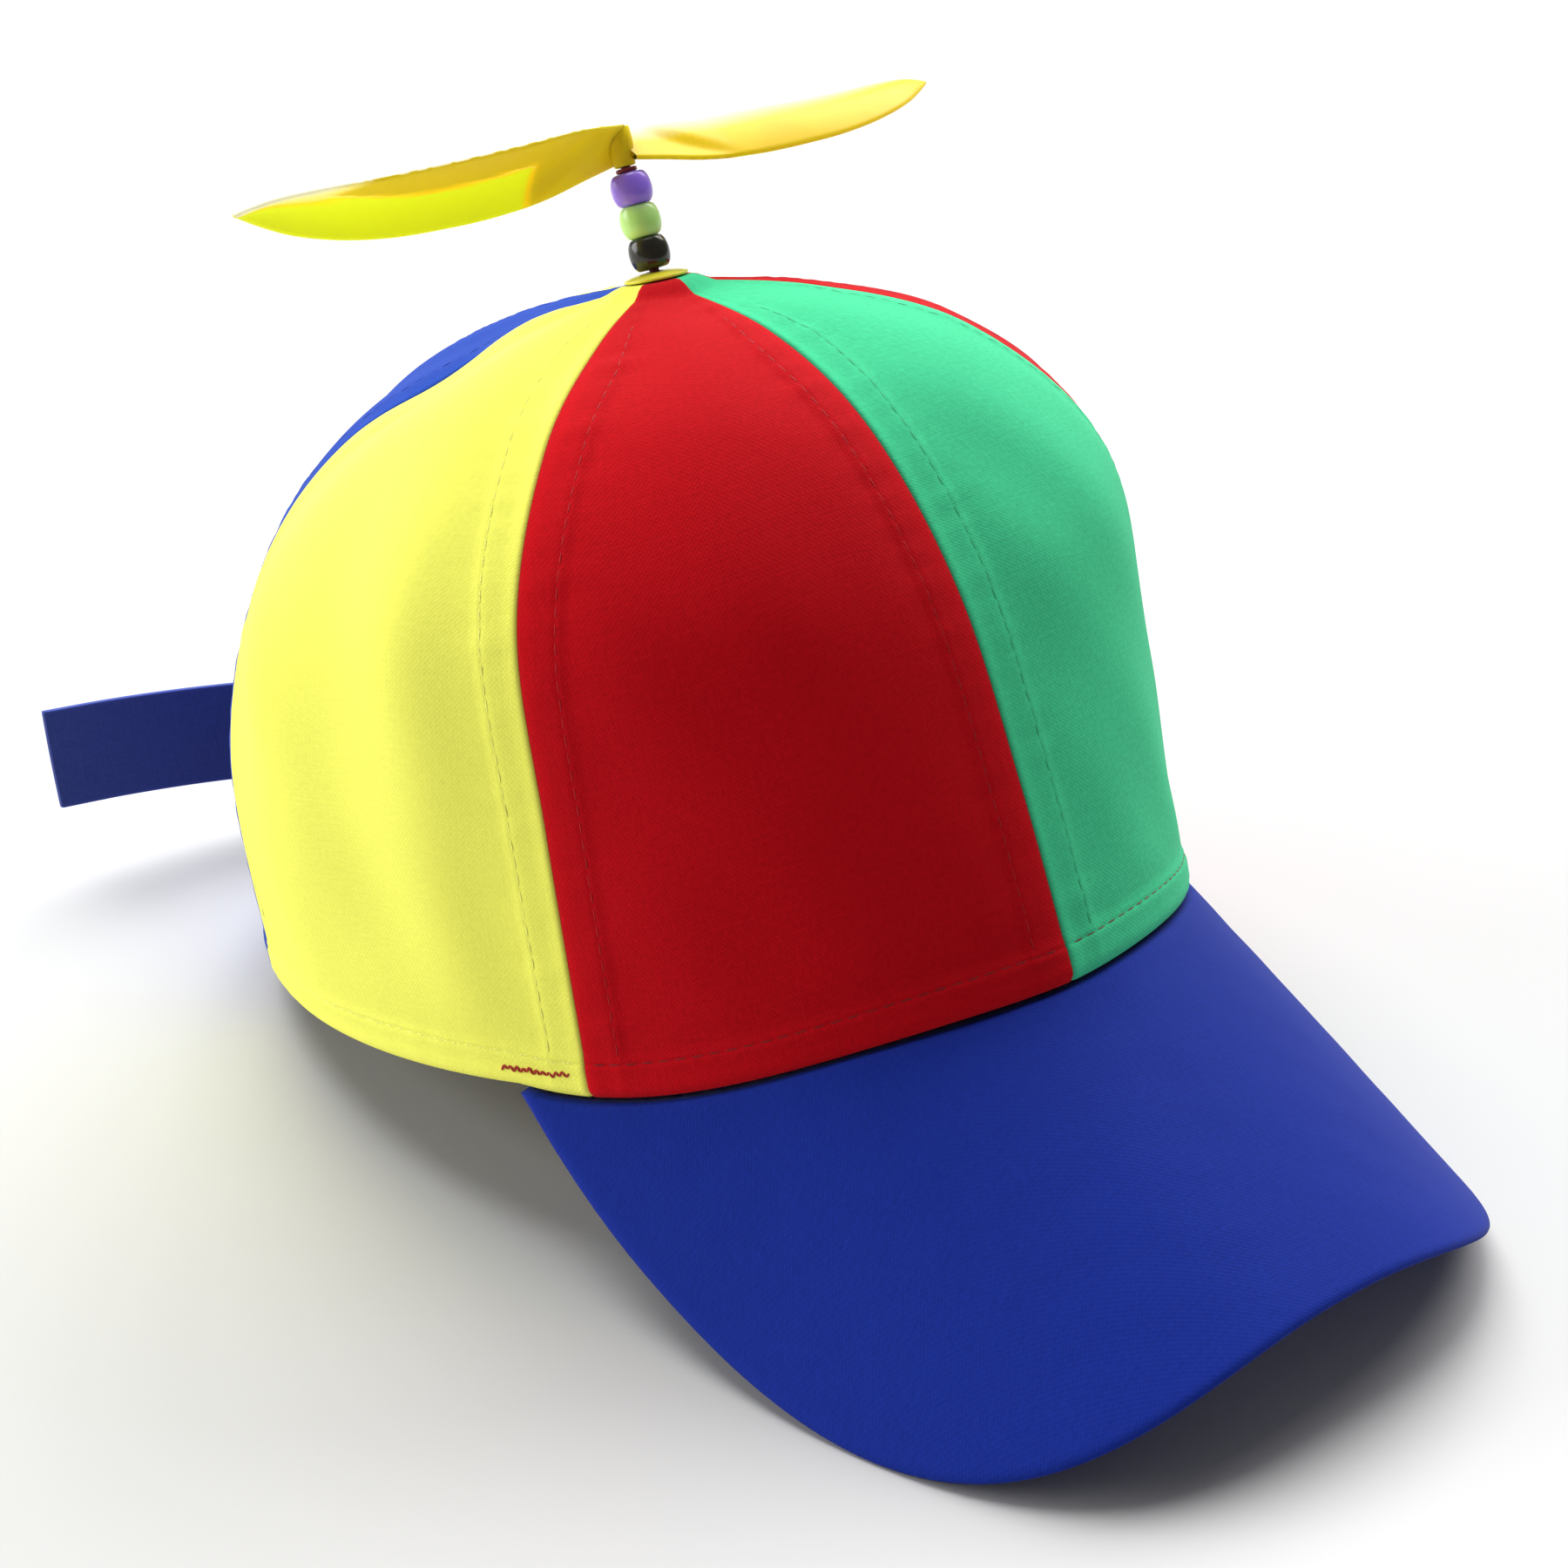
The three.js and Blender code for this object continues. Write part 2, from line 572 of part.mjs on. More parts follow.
// The pin passes from a foot inside the crown, through the plate, the beads, the washer and the
// hub, and its head lies in a recess in the hub's top
const headBottom = hubBottom + HUB_HEIGHT - HEAD_HEIGHT;

function pinGeometry() {
  const inside = ((GAP + CLOTH) * Math.cos(radians(PLATE_TILT))) / Math.cos(lean);
  const foot = -(inside + FOOT_RADIUS * Math.tan(lean) + GAP);
  const head = HEAD_PROFILE.map(({ reach, rise }) => [
    reach * HEAD_RADIUS,
    headBottom + rise * HEAD_HEIGHT,
  ]);
  const profile = [
    [0, foot - HEAD_HEIGHT],
    [FOOT_RADIUS, foot - HEAD_HEIGHT],
    [FOOT_RADIUS, foot],
    [PIN_RADIUS, foot],
    [PIN_RADIUS, headBottom],
    ...head,
  ];
  const points = profile.map(([r, z]) => new THREE.Vector2(r, z));
  return new THREE.LatheGeometry(points, ROUND_SIDES).rotateX(Math.PI / 2);
}
stem.add(makeMesh("pin", pinGeometry(), "#8a2330", 0.5));

// One blade along +X: its high edge on the +Y side, its low edge on the -Y side
function bladeGeometry() {
  const grid = (side) =>
    BLADE_STATIONS.map(({ along, high, low, camber }) => {
      const tilt = radians(lerp(BLADE_ROOT_PITCH, BLADE_TIP_PITCH, along));
      const thick = along === 1 ? BLADE_THICKNESS / 2 : BLADE_THICKNESS;
      return spaced(-low, high, BLADE_COLUMNS).map((chord) => {
        const across = chord * BLADE_WIDTH;
        const middle = (high - low) / 2;
        const arch = 1 - ((chord - middle) / ((high + low) / 2)) ** 2;
        const bow = BLADE_CAMBER * camber * arch + (side * thick) / 2;
        return point(
          along * BLADE_LENGTH,
          across * Math.cos(tilt) - bow * Math.sin(tilt),
          across * Math.sin(tilt) + bow * Math.cos(tilt),
        );
      });
    });
  return shellGeometry(grid(-1), grid(1));
}

// The hub stands on the top bead, with a bore for the pin and a recess for its head
function hubGeometry() {
  const recessRadius = HEAD_RADIUS + PIN_CLEARANCE;
  const recess = HUB_HEIGHT - HEAD_HEIGHT - GAP;
  const profile = [
    [boreRadius, 0],
    [HUB_FOOT_RADIUS, 0],
    [HUB_RADIUS, BLADE_SEAT],
    [HUB_RADIUS, HUB_HEIGHT],
    [recessRadius, HUB_HEIGHT],
    [recessRadius, recess],
    [boreRadius, recess],
    [boreRadius, 0],
  ];
  const points = profile.map(([r, z]) => new THREE.Vector2(r, z));
  return new THREE.LatheGeometry(points, ROUND_SIDES).rotateX(Math.PI / 2);
}

function propellerGeometry() {
  const core = new THREE.CylinderGeometry(HUB_RADIUS, HUB_FOOT_RADIUS, HUB_HEIGHT, ROUND_SIDES);
  const blade = bladeGeometry().translate(0, 0, BLADE_SEAT);
  const blades = solidOf(blade).add(solidOf(blade.clone().rotateZ(Math.PI)));
  const inside = core.rotateX(Math.PI / 2).translate(0, 0, HUB_HEIGHT / 2);
  return geometryOf(blades.subtract(solidOf(inside)).add(solidOf(hubGeometry())));
}

const propeller = makeMesh("propeller", propellerGeometry(), "#e6e02a", 0.3);
propeller.position.z = hubBottom;
propeller.rotation.z = radians(BLADE_HEADING);
stem.add(propeller);

// The part's frame: its origin is under the middle of the whole, on the surface
const beanie = new THREE.Group();
beanie.add(cap, strap);
const bounds = new THREE.Box3().setFromObject(beanie, true);
const middle = bounds.getCenter(new THREE.Vector3());
beanie.children.forEach((child) => child.position.add(point(-middle.x, -middle.y, -bounds.min.z)));

export default beanie;
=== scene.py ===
# %% [markdown]
# # A propeller cap
# A cotton cap of six panels lies on a pale table, tipped back by its curved visor. On its top a
# yellow plastic propeller turns on a pin above three beads. This notebook dresses the packed
# solids: every soft or round piece is remade with finer meshes in the place that its solid holds.

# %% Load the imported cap
import json
import math

import bmesh
import bpy
import numpy as np
from mathutils import Matrix, Vector


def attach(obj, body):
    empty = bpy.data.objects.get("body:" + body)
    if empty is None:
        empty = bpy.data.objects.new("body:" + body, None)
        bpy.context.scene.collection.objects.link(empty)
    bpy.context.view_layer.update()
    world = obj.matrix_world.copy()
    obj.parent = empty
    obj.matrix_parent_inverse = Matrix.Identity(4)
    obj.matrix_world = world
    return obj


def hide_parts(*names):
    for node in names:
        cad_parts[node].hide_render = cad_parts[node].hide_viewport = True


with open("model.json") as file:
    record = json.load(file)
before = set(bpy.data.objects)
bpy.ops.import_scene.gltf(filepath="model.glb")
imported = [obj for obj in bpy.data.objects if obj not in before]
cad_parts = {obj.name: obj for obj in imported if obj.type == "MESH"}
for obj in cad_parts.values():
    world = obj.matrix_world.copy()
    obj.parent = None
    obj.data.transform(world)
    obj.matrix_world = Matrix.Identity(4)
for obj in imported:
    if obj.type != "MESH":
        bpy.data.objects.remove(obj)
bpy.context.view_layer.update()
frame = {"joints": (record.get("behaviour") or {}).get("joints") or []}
MM = 0.001
rng = np.random.default_rng(11)

# %% [markdown]
# ## Camera
# The photograph looks down at the cap from its front right corner with a long lens. The camera
# stands where lines of the rim, the seams and the visor fall on those of the photograph.

# %% Camera
CAMERA_PLACE = Vector((-322.6, -394.92, 328.42)) * MM
CAMERA_RIGHT = Vector((0.7727, -0.6347, 0.0058))
CAMERA_BACK = Vector((-0.5613, -0.679, 0.4731))
CAMERA_LENS = 72.63

camera_data = bpy.data.cameras.new("camera")
camera_data.lens = CAMERA_LENS
camera_data.sensor_width = 36
camera = bpy.data.objects.new("camera", camera_data)
bpy.context.scene.collection.objects.link(camera)
back = CAMERA_BACK.normalized()
right = (CAMERA_RIGHT - CAMERA_RIGHT.dot(back) * back).normalized()
axes = Matrix((right, back.cross(right), back)).transposed()
camera.matrix_world = Matrix.Translation(CAMERA_PLACE) @ axes.to_4x4()
bpy.context.scene.camera = camera

# %% [markdown]
# ## Light and floor
# A white studio. Three wide soft lights stand far away, which lights the floor evenly: one high
# behind the cap, one lower behind its left side, which leaves the visor's near half darker, and
# one that grazes the yellow side panel. A lamp close by would be softer still, but it would leave
# a bright spot on the floor. The floor is pale paper, and behind it stands a white wall. The
# standard view keeps the dyed colours as strong as the photograph shows them.

# %% Light and floor
scene = bpy.context.scene
scene.view_settings.view_transform = "Standard"
WALL_LIGHT = 0.14
WALL_SEEN = 1.0


def linear(code):
    """A colour such as "d81d2e" as linear red, green, blue and alpha."""
    values = [int(code[i:i + 2], 16) / 255 for i in (0, 2, 4)]
    return [v / 12.92 if v <= 0.04045 else ((v + 0.055) / 1.055) ** 2.4 for v in values] + [1]


def add(tree, kind, inputs=(), **settings):
    """Adds a node. Each input is set to a value, or linked where it is given a socket."""
    made = tree.nodes.new("ShaderNode" + kind)
    for name, value in settings.items():
        setattr(made, name, value)
    for name, value in dict(inputs).items():
        if isinstance(value, bpy.types.NodeSocket):
            tree.links.new(value, made.inputs[name])
        else:
            made.inputs[name].default_value = value
    return made


def soft_light(name, towards, width, strength):
    """A far soft light. towards points to it from the cap, and width is its angle in degrees."""
    data = bpy.data.lights.new(name, "SUN")
    data.angle = math.radians(width)
    data.energy = strength
    lamp = bpy.data.objects.new(name, data)
    lamp.location = towards
    lamp.rotation_euler = Vector(towards).to_track_quat("Z", "Y").to_euler()
    scene.collection.objects.link(lamp)


soft_light("high_light", (0.12, 0.6, 1.1), 48, 3.2)
soft_light("back_light", (1.0, 0.4, 0.75), 44, 2.6)
soft_light("left_light", (-0.95, 0.85, 0.3), 44, 2.4)

world = bpy.data.worlds.new("white_room")
world.use_nodes = True
wall = world.node_tree.nodes["Background"]
wall.inputs["Color"].default_value = linear("ffffff")
seen = add(world.node_tree, "LightPath").outputs["Is Camera Ray"]
strength = add(world.node_tree, "Mix", {"Factor": seen, "A": WALL_LIGHT, "B": WALL_SEEN})
world.node_tree.links.new(strength.outputs[0], wall.inputs["Strength"])
scene.world = world


def new_material(name):
    """A material with its node tree and its Principled shader."""
    material = bpy.data.materials.new(name)
    material.use_nodes = True
    tree = material.node_tree
    return material, tree, tree.nodes["Principled BSDF"]


FLOOR_SIZE = 8.0
FLOOR_CLEAR = 0.0002
bm = bmesh.new()
bmesh.ops.create_grid(bm, x_segments=1, y_segments=1, size=FLOOR_SIZE / 2)
floor_mesh = bpy.data.meshes.new("floor")
bm.to_mesh(floor_mesh)
bm.free()
floor = bpy.data.objects.new("floor", floor_mesh)
floor.location.z = -FLOOR_CLEAR
scene.collection.objects.link(floor)
floor_paint, tree, shader = new_material("matt_white_paper")
coordinates = add(tree, "TexCoord")
grain = add(tree, "TexNoise", {"Vector": coordinates.outputs["Object"], "Scale": 900, "Detail": 3})
bump = add(tree, "Bump", {"Height": grain.outputs["Fac"], "Strength": 0.15, "Distance": 0.00005})
tree.links.new(bump.outputs["Normal"], shader.inputs["Normal"])
shader.inputs["Base Color"].default_value = linear("cfcfcf")
shader.inputs["Roughness"].default_value = 0.9
floor.data.materials.append(floor_paint)

# %% [markdown]
# ## The shape of the crown
# The crown is one smooth dome, as its solid is: six outlines run from the rim to the top, and the
# turns between them are blended. All sizes here are millimetres in the cap's own upright frame,
# which is then tipped back to lie on the floor.

# %% The crown's sizes and outlines
RIM_HALF_WIDTH = 78.9
RIM_HALF_LENGTH = 101.7
CROWN_HEIGHT = 122.4
TOP = np.array([-1.6, -15.5, CROWN_HEIGHT])
FRONT_SEAM = 58.4
BACK_SEAM = 118.2
PANEL_PUFF = 1.2
FOLD_DEPTH = 3.0
HEM_HEIGHT = 9.0
RIM_CLIMB = 1.8
FLAT_RIM = 3 * HEM_HEIGHT / (CROWN_HEIGHT * RIM_CLIMB)
ARCH_HALF_WIDTH = 37.0
ARCH_SHOULDER = 3.0
VISOR_TURN = 66.9
VISOR_LENGTH = 54.8
VISOR_HALF_WIDTH = 74.0
VISOR_SLOPE = math.tan(math.radians(36.5))
VISOR_DROP = 54.6
VISOR_DROP_POWER = 2.37
VISOR_SQUARENESS = 3.02
VISOR_FLARE_LENGTH = 30.0
VISOR_THICKNESS = 2.2
GAP = 0.3
CAP_TILT = math.radians(13.4068)
CAP_PLACE = np.array([1.475072, 18.072721, 19.826848])

SIDE_BACK = [1, 1.0, 0.866, 0.659, 0.349, 0], [0, 0.355, 0.635, 0.815, 0.926, 1]
SIDE_FRONT = [1, 0.997, 0.968, 0.699, 0.35, 0], [0, 0.379, 0.661, 0.858, 0.954, 1]
FRONT = [1, 0.917, 0.806, 0.608, 0.341, 0], [0, 0.29, 0.576, 0.801, 0.933, 1]
BACK = [1, 0.958, 0.824, 0.621, 0.337, 0], [0, 0.339, 0.623, 0.842, 0.944, 1]
OUTLINES = {-120: SIDE_BACK, -60: SIDE_FRONT, 0: FRONT, 60: SIDE_FRONT, 120: SIDE_BACK, 180: BACK}

# Each fold: turn, climb, half width in degrees, half height in climb, share of the fold depth
FOLDS = [
    (-72, 0.3, 5, 0.26, 0.5), (-84, 0.32, 6, 0.28, -0.6), (-97, 0.3, 7, 0.3, 0.6),
    (-106, 0.62, 8, 0.14, -0.5), (-112, 0.73, 8, 0.06, -0.5), (-114, 0.86, 9, 0.06, 0.6),
    (78, 0.4, 12, 0.25, 0.7), (98, 0.22, 9, 0.2, -0.5), (146, 0.6, 14, 0.2, -0.7),
    (-148, 0.55, 12, 0.22, -0.6),
]


def smooth(x, low, high):
    """0 below low, 1 above high, and an even swing between."""
    t = np.clip((x - low) / (high - low), 0, 1)
    return t * t * (3 - 2 * t)


def ridge(distance, place, width):
    """1 at a place, falling away on both sides of it within about that width."""
    return np.exp(-(((distance - place) / width) ** 2))


def to_room(points):
    """Points of the upright cap, in mm, where they are once the cap lies on the floor."""
    x, y, z = np.moveaxis(np.asarray(points, float), -1, 0)
    c, s = math.cos(CAP_TILT), math.sin(CAP_TILT)
    return np.stack([x, c * y + s * z, c * z - s * y], -1) + CAP_PLACE


def visor_sheet(x, y):
    curl = VISOR_DROP * (np.abs(x) / VISOR_HALF_WIDTH) ** VISOR_DROP_POWER
    return VISOR_SLOPE * (y + RIM_HALF_LENGTH) - curl


VISOR_END = (
    RIM_HALF_WIDTH * math.sin(math.radians(VISOR_TURN)),
    -RIM_HALF_LENGTH * math.cos(math.radians(VISOR_TURN)),
)


def visor_height(x, y):
    return visor_sheet(x, y) - visor_sheet(*VISOR_END)


def rim(turn, inset=0.0):
    """The crown's lower edge: level at the sides and back, and raised by the visor in front."""
    side, back = np.sin(np.radians(turn)), -np.cos(np.radians(turn))
    raised = visor_height(RIM_HALF_WIDTH * side, RIM_HALF_LENGTH * back)
    height = np.where(np.abs(turn) < VISOR_TURN, raised, 0)
    return np.stack([(RIM_HALF_WIDTH - inset) * side, (RIM_HALF_LENGTH - inset) * back, height], -1)


def along_outline(values, climb):
    """A smooth line through evenly spaced values."""
    values, last = np.asarray(values, float), len(values) - 1
    place = np.clip(climb, 0, 1) * last
    i = np.minimum(place.astype(int), last)
    t = place - i
    a, b, c, d = (values[np.clip(i + k, 0, last)] for k in (-1, 0, 1, 2))
    m, n = (c - a) / 2, (d - b) / 2
    return (2 * b - 2 * c + m + n) * t ** 3 + (3 * c - 3 * b - 2 * m - n) * t * t + m * t + b


def crown(turn, climb):
    """A point of the smooth dome. climb goes from 0 at the rim to 1 at the top."""
    turn, climb = np.broadcast_arrays(np.asarray(turn, float), np.asarray(climb, float))
    reach, rise = np.zeros(turn.shape), np.zeros(turn.shape)
    count = len(OUTLINES)
    for place, (reaches, rises) in OUTLINES.items():
        half = np.radians(turn - place) / 2
        half = np.where(np.abs(np.sin(half)) < 1e-6, 1e-6, half)
        weight = np.sin(count * half) / (count * np.tan(half))
        reach += weight * along_outline(reaches, climb)
        rise += weight * along_outline(rises, climb)
    edge = rim(turn)
    x, y = (TOP[i] + (edge[..., i] - TOP[i]) * reach for i in (0, 1))
    return np.stack([x, y, edge[..., 2] + (CROWN_HEIGHT - edge[..., 2]) * rise], -1)


def crown_normal(turn, climb):
    low = np.maximum(climb - 0.01, 0)
    around = crown(turn + 0.5, climb) - crown(turn - 0.5, climb)
    normal = np.cross(around, crown(turn, low + 0.02) - crown(turn, low))
    return normal / np.linalg.norm(normal, axis=-1, keepdims=True)


def relief(turn, climb, start, end):
    """How far the cloth stands out: each panel puffs out between its seams, and folds cross it."""
    across = np.clip((turn - start) / (end - start), 0, 1)
    out = PANEL_PUFF * np.sin(np.pi * across) * np.sin(np.pi * climb)
    for place, height, wide, tall, deep in FOLDS:
        far = ((turn - place) / wide) ** 2 + ((climb - height) / tall) ** 2
        out = out + FOLD_DEPTH * deep * np.exp(-far)
    return out * smooth(climb, 0, FLAT_RIM)


print("top of the crown in the room, mm:", to_room(TOP).round(1))

# %% [markdown]
# ## Cotton cloth
# The panels are plain-woven cotton, dyed and then cut. Close up it is matt and a little hairy,
# with threads that vary in thickness. The weave is drawn on each piece's own flat cut, so that it
# bends with the cloth. It is drawn at 0.45 mm a thread, near the real size, so from a distance
# only the thicker threads show. Ridges that are rubbed lose some dye, and shade is painted into
# the grooves at the seams and stitch rows: each vertex says how much, in one attribute.

# %% Cloth materials
THREAD = 0.45 * MM
TAPE_THREAD = 0.8 * MM
SLUB_LENGTH = 4 * MM
MOTTLE = 0.9 * MM
FADE = 45 * MM
WEAVE_DEPTH = 0.08 * MM
WEAVE_SHARE = 0.35
RIDGE_FADES = 0.22
FADED = 1.7
# Painted shade: how strongly the grooves are darkened, and the tone they are darkened to.
PAINTED_SHADE_STRENGTH = 0.6
PAINTED_SHADE_TONE = 0.4


def scaled_noise(tree, vector, across, along, detail=2.0):
    """Noise whose lumps measure across by along metres on the flat cut."""
    stretched = add(tree, "Mapping", {"Vector": vector, "Scale": (1 / across, 1 / along, 1)})
    settings = {"Vector": stretched.outputs[0], "Scale": 1, "Detail": detail}
    return add(tree, "TexNoise", settings).outputs[0]


def mixed(tree, factor, a, b):
    made = add(tree, "Mix", {"Factor": factor}, data_type="RGBA")
    for socket, value in ((made.inputs[6], a), (made.inputs[7], b)):
        if isinstance(value, bpy.types.NodeSocket):
            tree.links.new(value, socket)
        else:
            socket.default_value = value
    return made.outputs[2]


def calculate(tree, operation, a, b=0.0, clamp=False):
    made = add(tree, "Math", {0: a, 1: b}, operation=operation, use_clamp=clamp)
    return made.outputs[0]


def shade(colour, amount):
    return [max(c * amount, 0) for c in colour[:3]] + [1]


def woven_cotton(name, code, thread=THREAD, gloss=0.1, twill=False, contrast=0.1):
    """Dyed woven cotton: matt, with a soft sheen from its hair, uneven threads, worn ridges and
    painted shade in the seam grooves.
    """
    material, tree, shader = new_material(name)
    colour = linear(code)
    cut = add(tree, "UVMap", uv_map="cut").outputs[0]
    mottle = scaled_noise(tree, cut, MOTTLE, MOTTLE, 3)
    warp = scaled_noise(tree, cut, thread, SLUB_LENGTH)
    weft = scaled_noise(tree, cut, SLUB_LENGTH, thread)
    fade = scaled_noise(tree, cut, FADE, FADE, 1)
    slubs = calculate(tree, "ADD", warp, weft)
    uneven = calculate(tree, "ADD", calculate(tree, "MULTIPLY", slubs, 0.5), mottle)
    uneven = calculate(tree, "ADD", uneven, calculate(tree, "MULTIPLY", fade, 0.5))
    share = calculate(tree, "MULTIPLY_ADD", uneven, 1.6)
    share.node.inputs[2].default_value = -1.5
    share.node.use_clamp = True
    dyed = mixed(tree, share, shade(colour, 1 - contrast), shade(colour, 1 + contrast))
    wear_and_painted_light = add(tree, "Attribute", attribute_name="wear_and_painted_light").outputs["Fac"]
    ridge = calculate(tree, "MULTIPLY", wear_and_painted_light, RIDGE_FADES, clamp=True)
    worn = mixed(tree, ridge, dyed, shade(colour, FADED))
    # Painted shade: where the attribute is below 0, the dye is darkened in the seam and stitch
    # grooves.
    painted_shade_share = calculate(tree, "MULTIPLY", wear_and_painted_light, -PAINTED_SHADE_STRENGTH, clamp=True)
    tree.links.new(mixed(tree, painted_shade_share, worn, shade(colour, PAINTED_SHADE_TONE)), shader.inputs["Base Color"])
    split = add(tree, "SeparateXYZ", {0: cut})
    across, along = split.outputs[0], split.outputs[1]
    if twill:
        slant = [calculate(tree, way, across, along) for way in ("ADD", "SUBTRACT")]
        across, along = slant
    ribs = [
        calculate(tree, "SINE", calculate(tree, "MULTIPLY", side, math.pi / thread))
        for side in (across, along)
    ]
    weave = calculate(tree, "MULTIPLY", ribs[0], ribs[1])
    height = calculate(tree, "ADD", calculate(tree, "MULTIPLY", weave, WEAVE_SHARE), slubs)
    bump = add(tree, "Bump", {"Height": height, "Strength": 0.5, "Distance": WEAVE_DEPTH})
    tree.links.new(bump.outputs["Normal"], shader.inputs["Normal"])
    shader.inputs["Roughness"].default_value = 0.95 - 0.6 * gloss
    shader.inputs["Specular IOR Level"].default_value = gloss
    shader.inputs["Specular Tint"].default_value = shade(colour, 3)
    shader.inputs["Sheen Weight"].default_value = 0.04
    shader.inputs["Sheen Roughness"].default_value = 0.45
    return material


CLOTHS = {
    "red": woven_cotton("red_cotton_woven", "c0101a"),
    "green": woven_cotton("green_cotton_woven", "48ce94"),
    "yellow": woven_cotton("yellow_cotton_woven", "f8f86a", contrast=0.04),
    "blue": woven_cotton("blue_cotton_woven", "2444a0"),
    "visor": woven_cotton("visor_blue_cotton_woven", "1a2e8c", gloss=0.2),
    "navy": woven_cotton("navy_cotton_tape_woven", "424e90", thread=TAPE_THREAD, twill=True),
}
print("cloths:", ", ".join(CLOTHS))

# %% [markdown]
# ## Helpers for sheets
# A piece of cloth starts as a flat grid, as it is cut from the bolt. Each point of the grid is
# then carried to its place, and keeps its place on the cut as the UV map for the weave.

# %% Sheet helpers


def grid_sheet(rows, columns):
    """A flat grid of rows by columns of vertices, and the vertices in that order."""
    bm = bmesh.new()
    for kept in ("across", "along", "wear_and_painted_light"):
        bm.verts.layers.float.new(kept)
    bmesh.ops.create_grid(bm, x_segments=columns - 1, y_segments=rows - 1, size=1)
    ordered = [[None] * columns for _ in range(rows)]
    for vert in bm.verts:
        column = round((vert.co.x + 1) / 2 * (columns - 1))
        row = round((vert.co.y + 1) / 2 * (rows - 1))
        ordered[row][column] = vert
    return bm, ordered


def place_sheet(bm, ordered, points, cut, wear_and_painted_light):
    """Moves the grid to points (room, mm), and keeps its cut (mm) and its wear and painted light on
    each vertex.
    """
    across, along, worn = (bm.verts.layers.float[key] for key in ("across", "along", "wear_and_painted_light"))
    for r, line in enumerate(ordered):
        for c, vert in enumerate(line):
            vert.co = points[r, c] * MM
            vert[across], vert[along] = cut[r, c] * MM
            vert[worn] = wear_and_painted_light[r, c]


def finish_mesh(bm, name, material, body="hat", smooth_faces=True):
    """Makes the object, with its flat cut as a UV map, and lets it ride on its body."""
    if "across" in bm.verts.layers.float:
        across, along = bm.verts.layers.float["across"], bm.verts.layers.float["along"]
        uv = bm.loops.layers.uv.new("cut")
        for face in bm.faces:
            for loop in face.loops:
                loop[uv].uv = loop.vert[across], loop.vert[along]
    for face in bm.faces:
        face.smooth = smooth_faces
    mesh = bpy.data.meshes.new(name)
    bm.to_mesh(mesh)
    bm.free()
    piece = bpy.data.objects.new(name, mesh)
    scene.collection.objects.link(piece)
    mesh.materials.append(material)
    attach(piece, body)
    return piece


def thicken(piece, thickness, offset=0.0):
    solid = piece.modifiers.new("cloth", "SOLIDIFY")
    solid.thickness = thickness * MM
    solid.offset = offset
    return solid


def waves(lengths, height, count=5):
    """A function of two lengths in mm: soft random waves, that long and about that high."""
    angles, phases = rng.uniform(0, np.pi, count), rng.uniform(0, 2 * np.pi, count)
    sizes = rng.uniform(*lengths, count)

    def wave(x, y):
        total = 0
        for angle, phase, size in zip(angles, phases, sizes):
            run = x * np.cos(angle) + y * np.sin(angle)
            total = total + np.sin(2 * np.pi * run / size + phase)
        return height * total / math.sqrt(count)

    return wave


# %% [markdown]
# ## The six panels
# Each panel is a leaf of cloth. Its lower edge is turned in and sewn as a hem, and its sides are
# turned in at the seams and held by a row of stitches beside each seam. So the sheet runs from
# the end of the turned hem, down inside, round the fold and up the outside to the top. Along
# each seam it dips into a groove, stands a little higher over the turned edge, and is drawn in
# again by the stitches, which also gather it into small puckers.

# %% Build the panels
PLATE_TILT = math.radians(5)
PLATE_RADIUS = 5.8
PLATE_PRESS = 1.8
CLOTH = 0.7
OUTER = CLOTH / 2
INNER = 1.55
FOLD_RADIUS = (INNER - OUTER) / 2
SEAM_STITCH = 6.5
HEM_STITCH = 6.5
HEM_PUFF = 0.6
SEAM_LIFT = 0.35
STITCH_PULL = 0.25
SEAM_PULL = 0.5
GROOVE = 0.4
HEM_BEND = 2.5
RUBBED_SEAM = 1.2, 1.3
RUBBED_HEM = 1.6, 2.5
# Painted shade along each seam and in the stitch grooves.
SEAM_SHADE = 1.8
SEAM_SHADE_WIDTH = 0.6
STITCH_SHADE = 0.1
EDGE_ROUND = 0.7
SEAM_GAP = 0.06
ROW_STEP = 1.25
COLUMN_STEP = 2.4
TOP_OPEN = 2.0
LEAST_FLOOR = OUTER + 0.02

# Distances of the first columns from a seam, and how much deeper than the cloth each one lies
SEAM_COLUMNS = [
    (0, 1.9), (0, 0.7), (0.08, None), (0.22, None), (0.45, None), (0.75, 0), (1.3, 0), (2.1, 0),
    (3.1, 0), (4.2, 0), (5.2, 0), (5.8, 0), (6.15, 0), (6.5, 0), (6.85, 0), (7.2, 0), (7.9, 0),
    (9.0, 0), (10.6, 0), (12.6, 0),
]
SEAM_SIDE = np.array([d for d, _ in SEAM_COLUMNS])
SEAM_DEPTH = np.array([
    EDGE_ROUND - math.sqrt(EDGE_ROUND ** 2 - (EDGE_ROUND - d) ** 2) if deep is None else deep
    for d, deep in SEAM_COLUMNS
])
HEM_ROWS = [11, 9.5, 8, 6.5, 5, 3.5, 2.3, 1.6]
OUTER_ROWS = [1.6, 2.3, 3.2, 4.2, 5.2, 5.8, 6.15, 6.5, 6.85, 7.2, 7.9, 9]

PANELS = [
    ("panel_front_right", -FRONT_SEAM, 0.0, "red"),
    ("panel_front_left", 0.0, FRONT_SEAM, "green"),
    ("panel_side_right", -BACK_SEAM, -FRONT_SEAM, "yellow"),
    ("panel_side_left", FRONT_SEAM, BACK_SEAM, "red"),
    ("panel_back_right", -180.0, -BACK_SEAM, "blue"),
    ("panel_back_left", BACK_SEAM, 180.0, "yellow"),
]


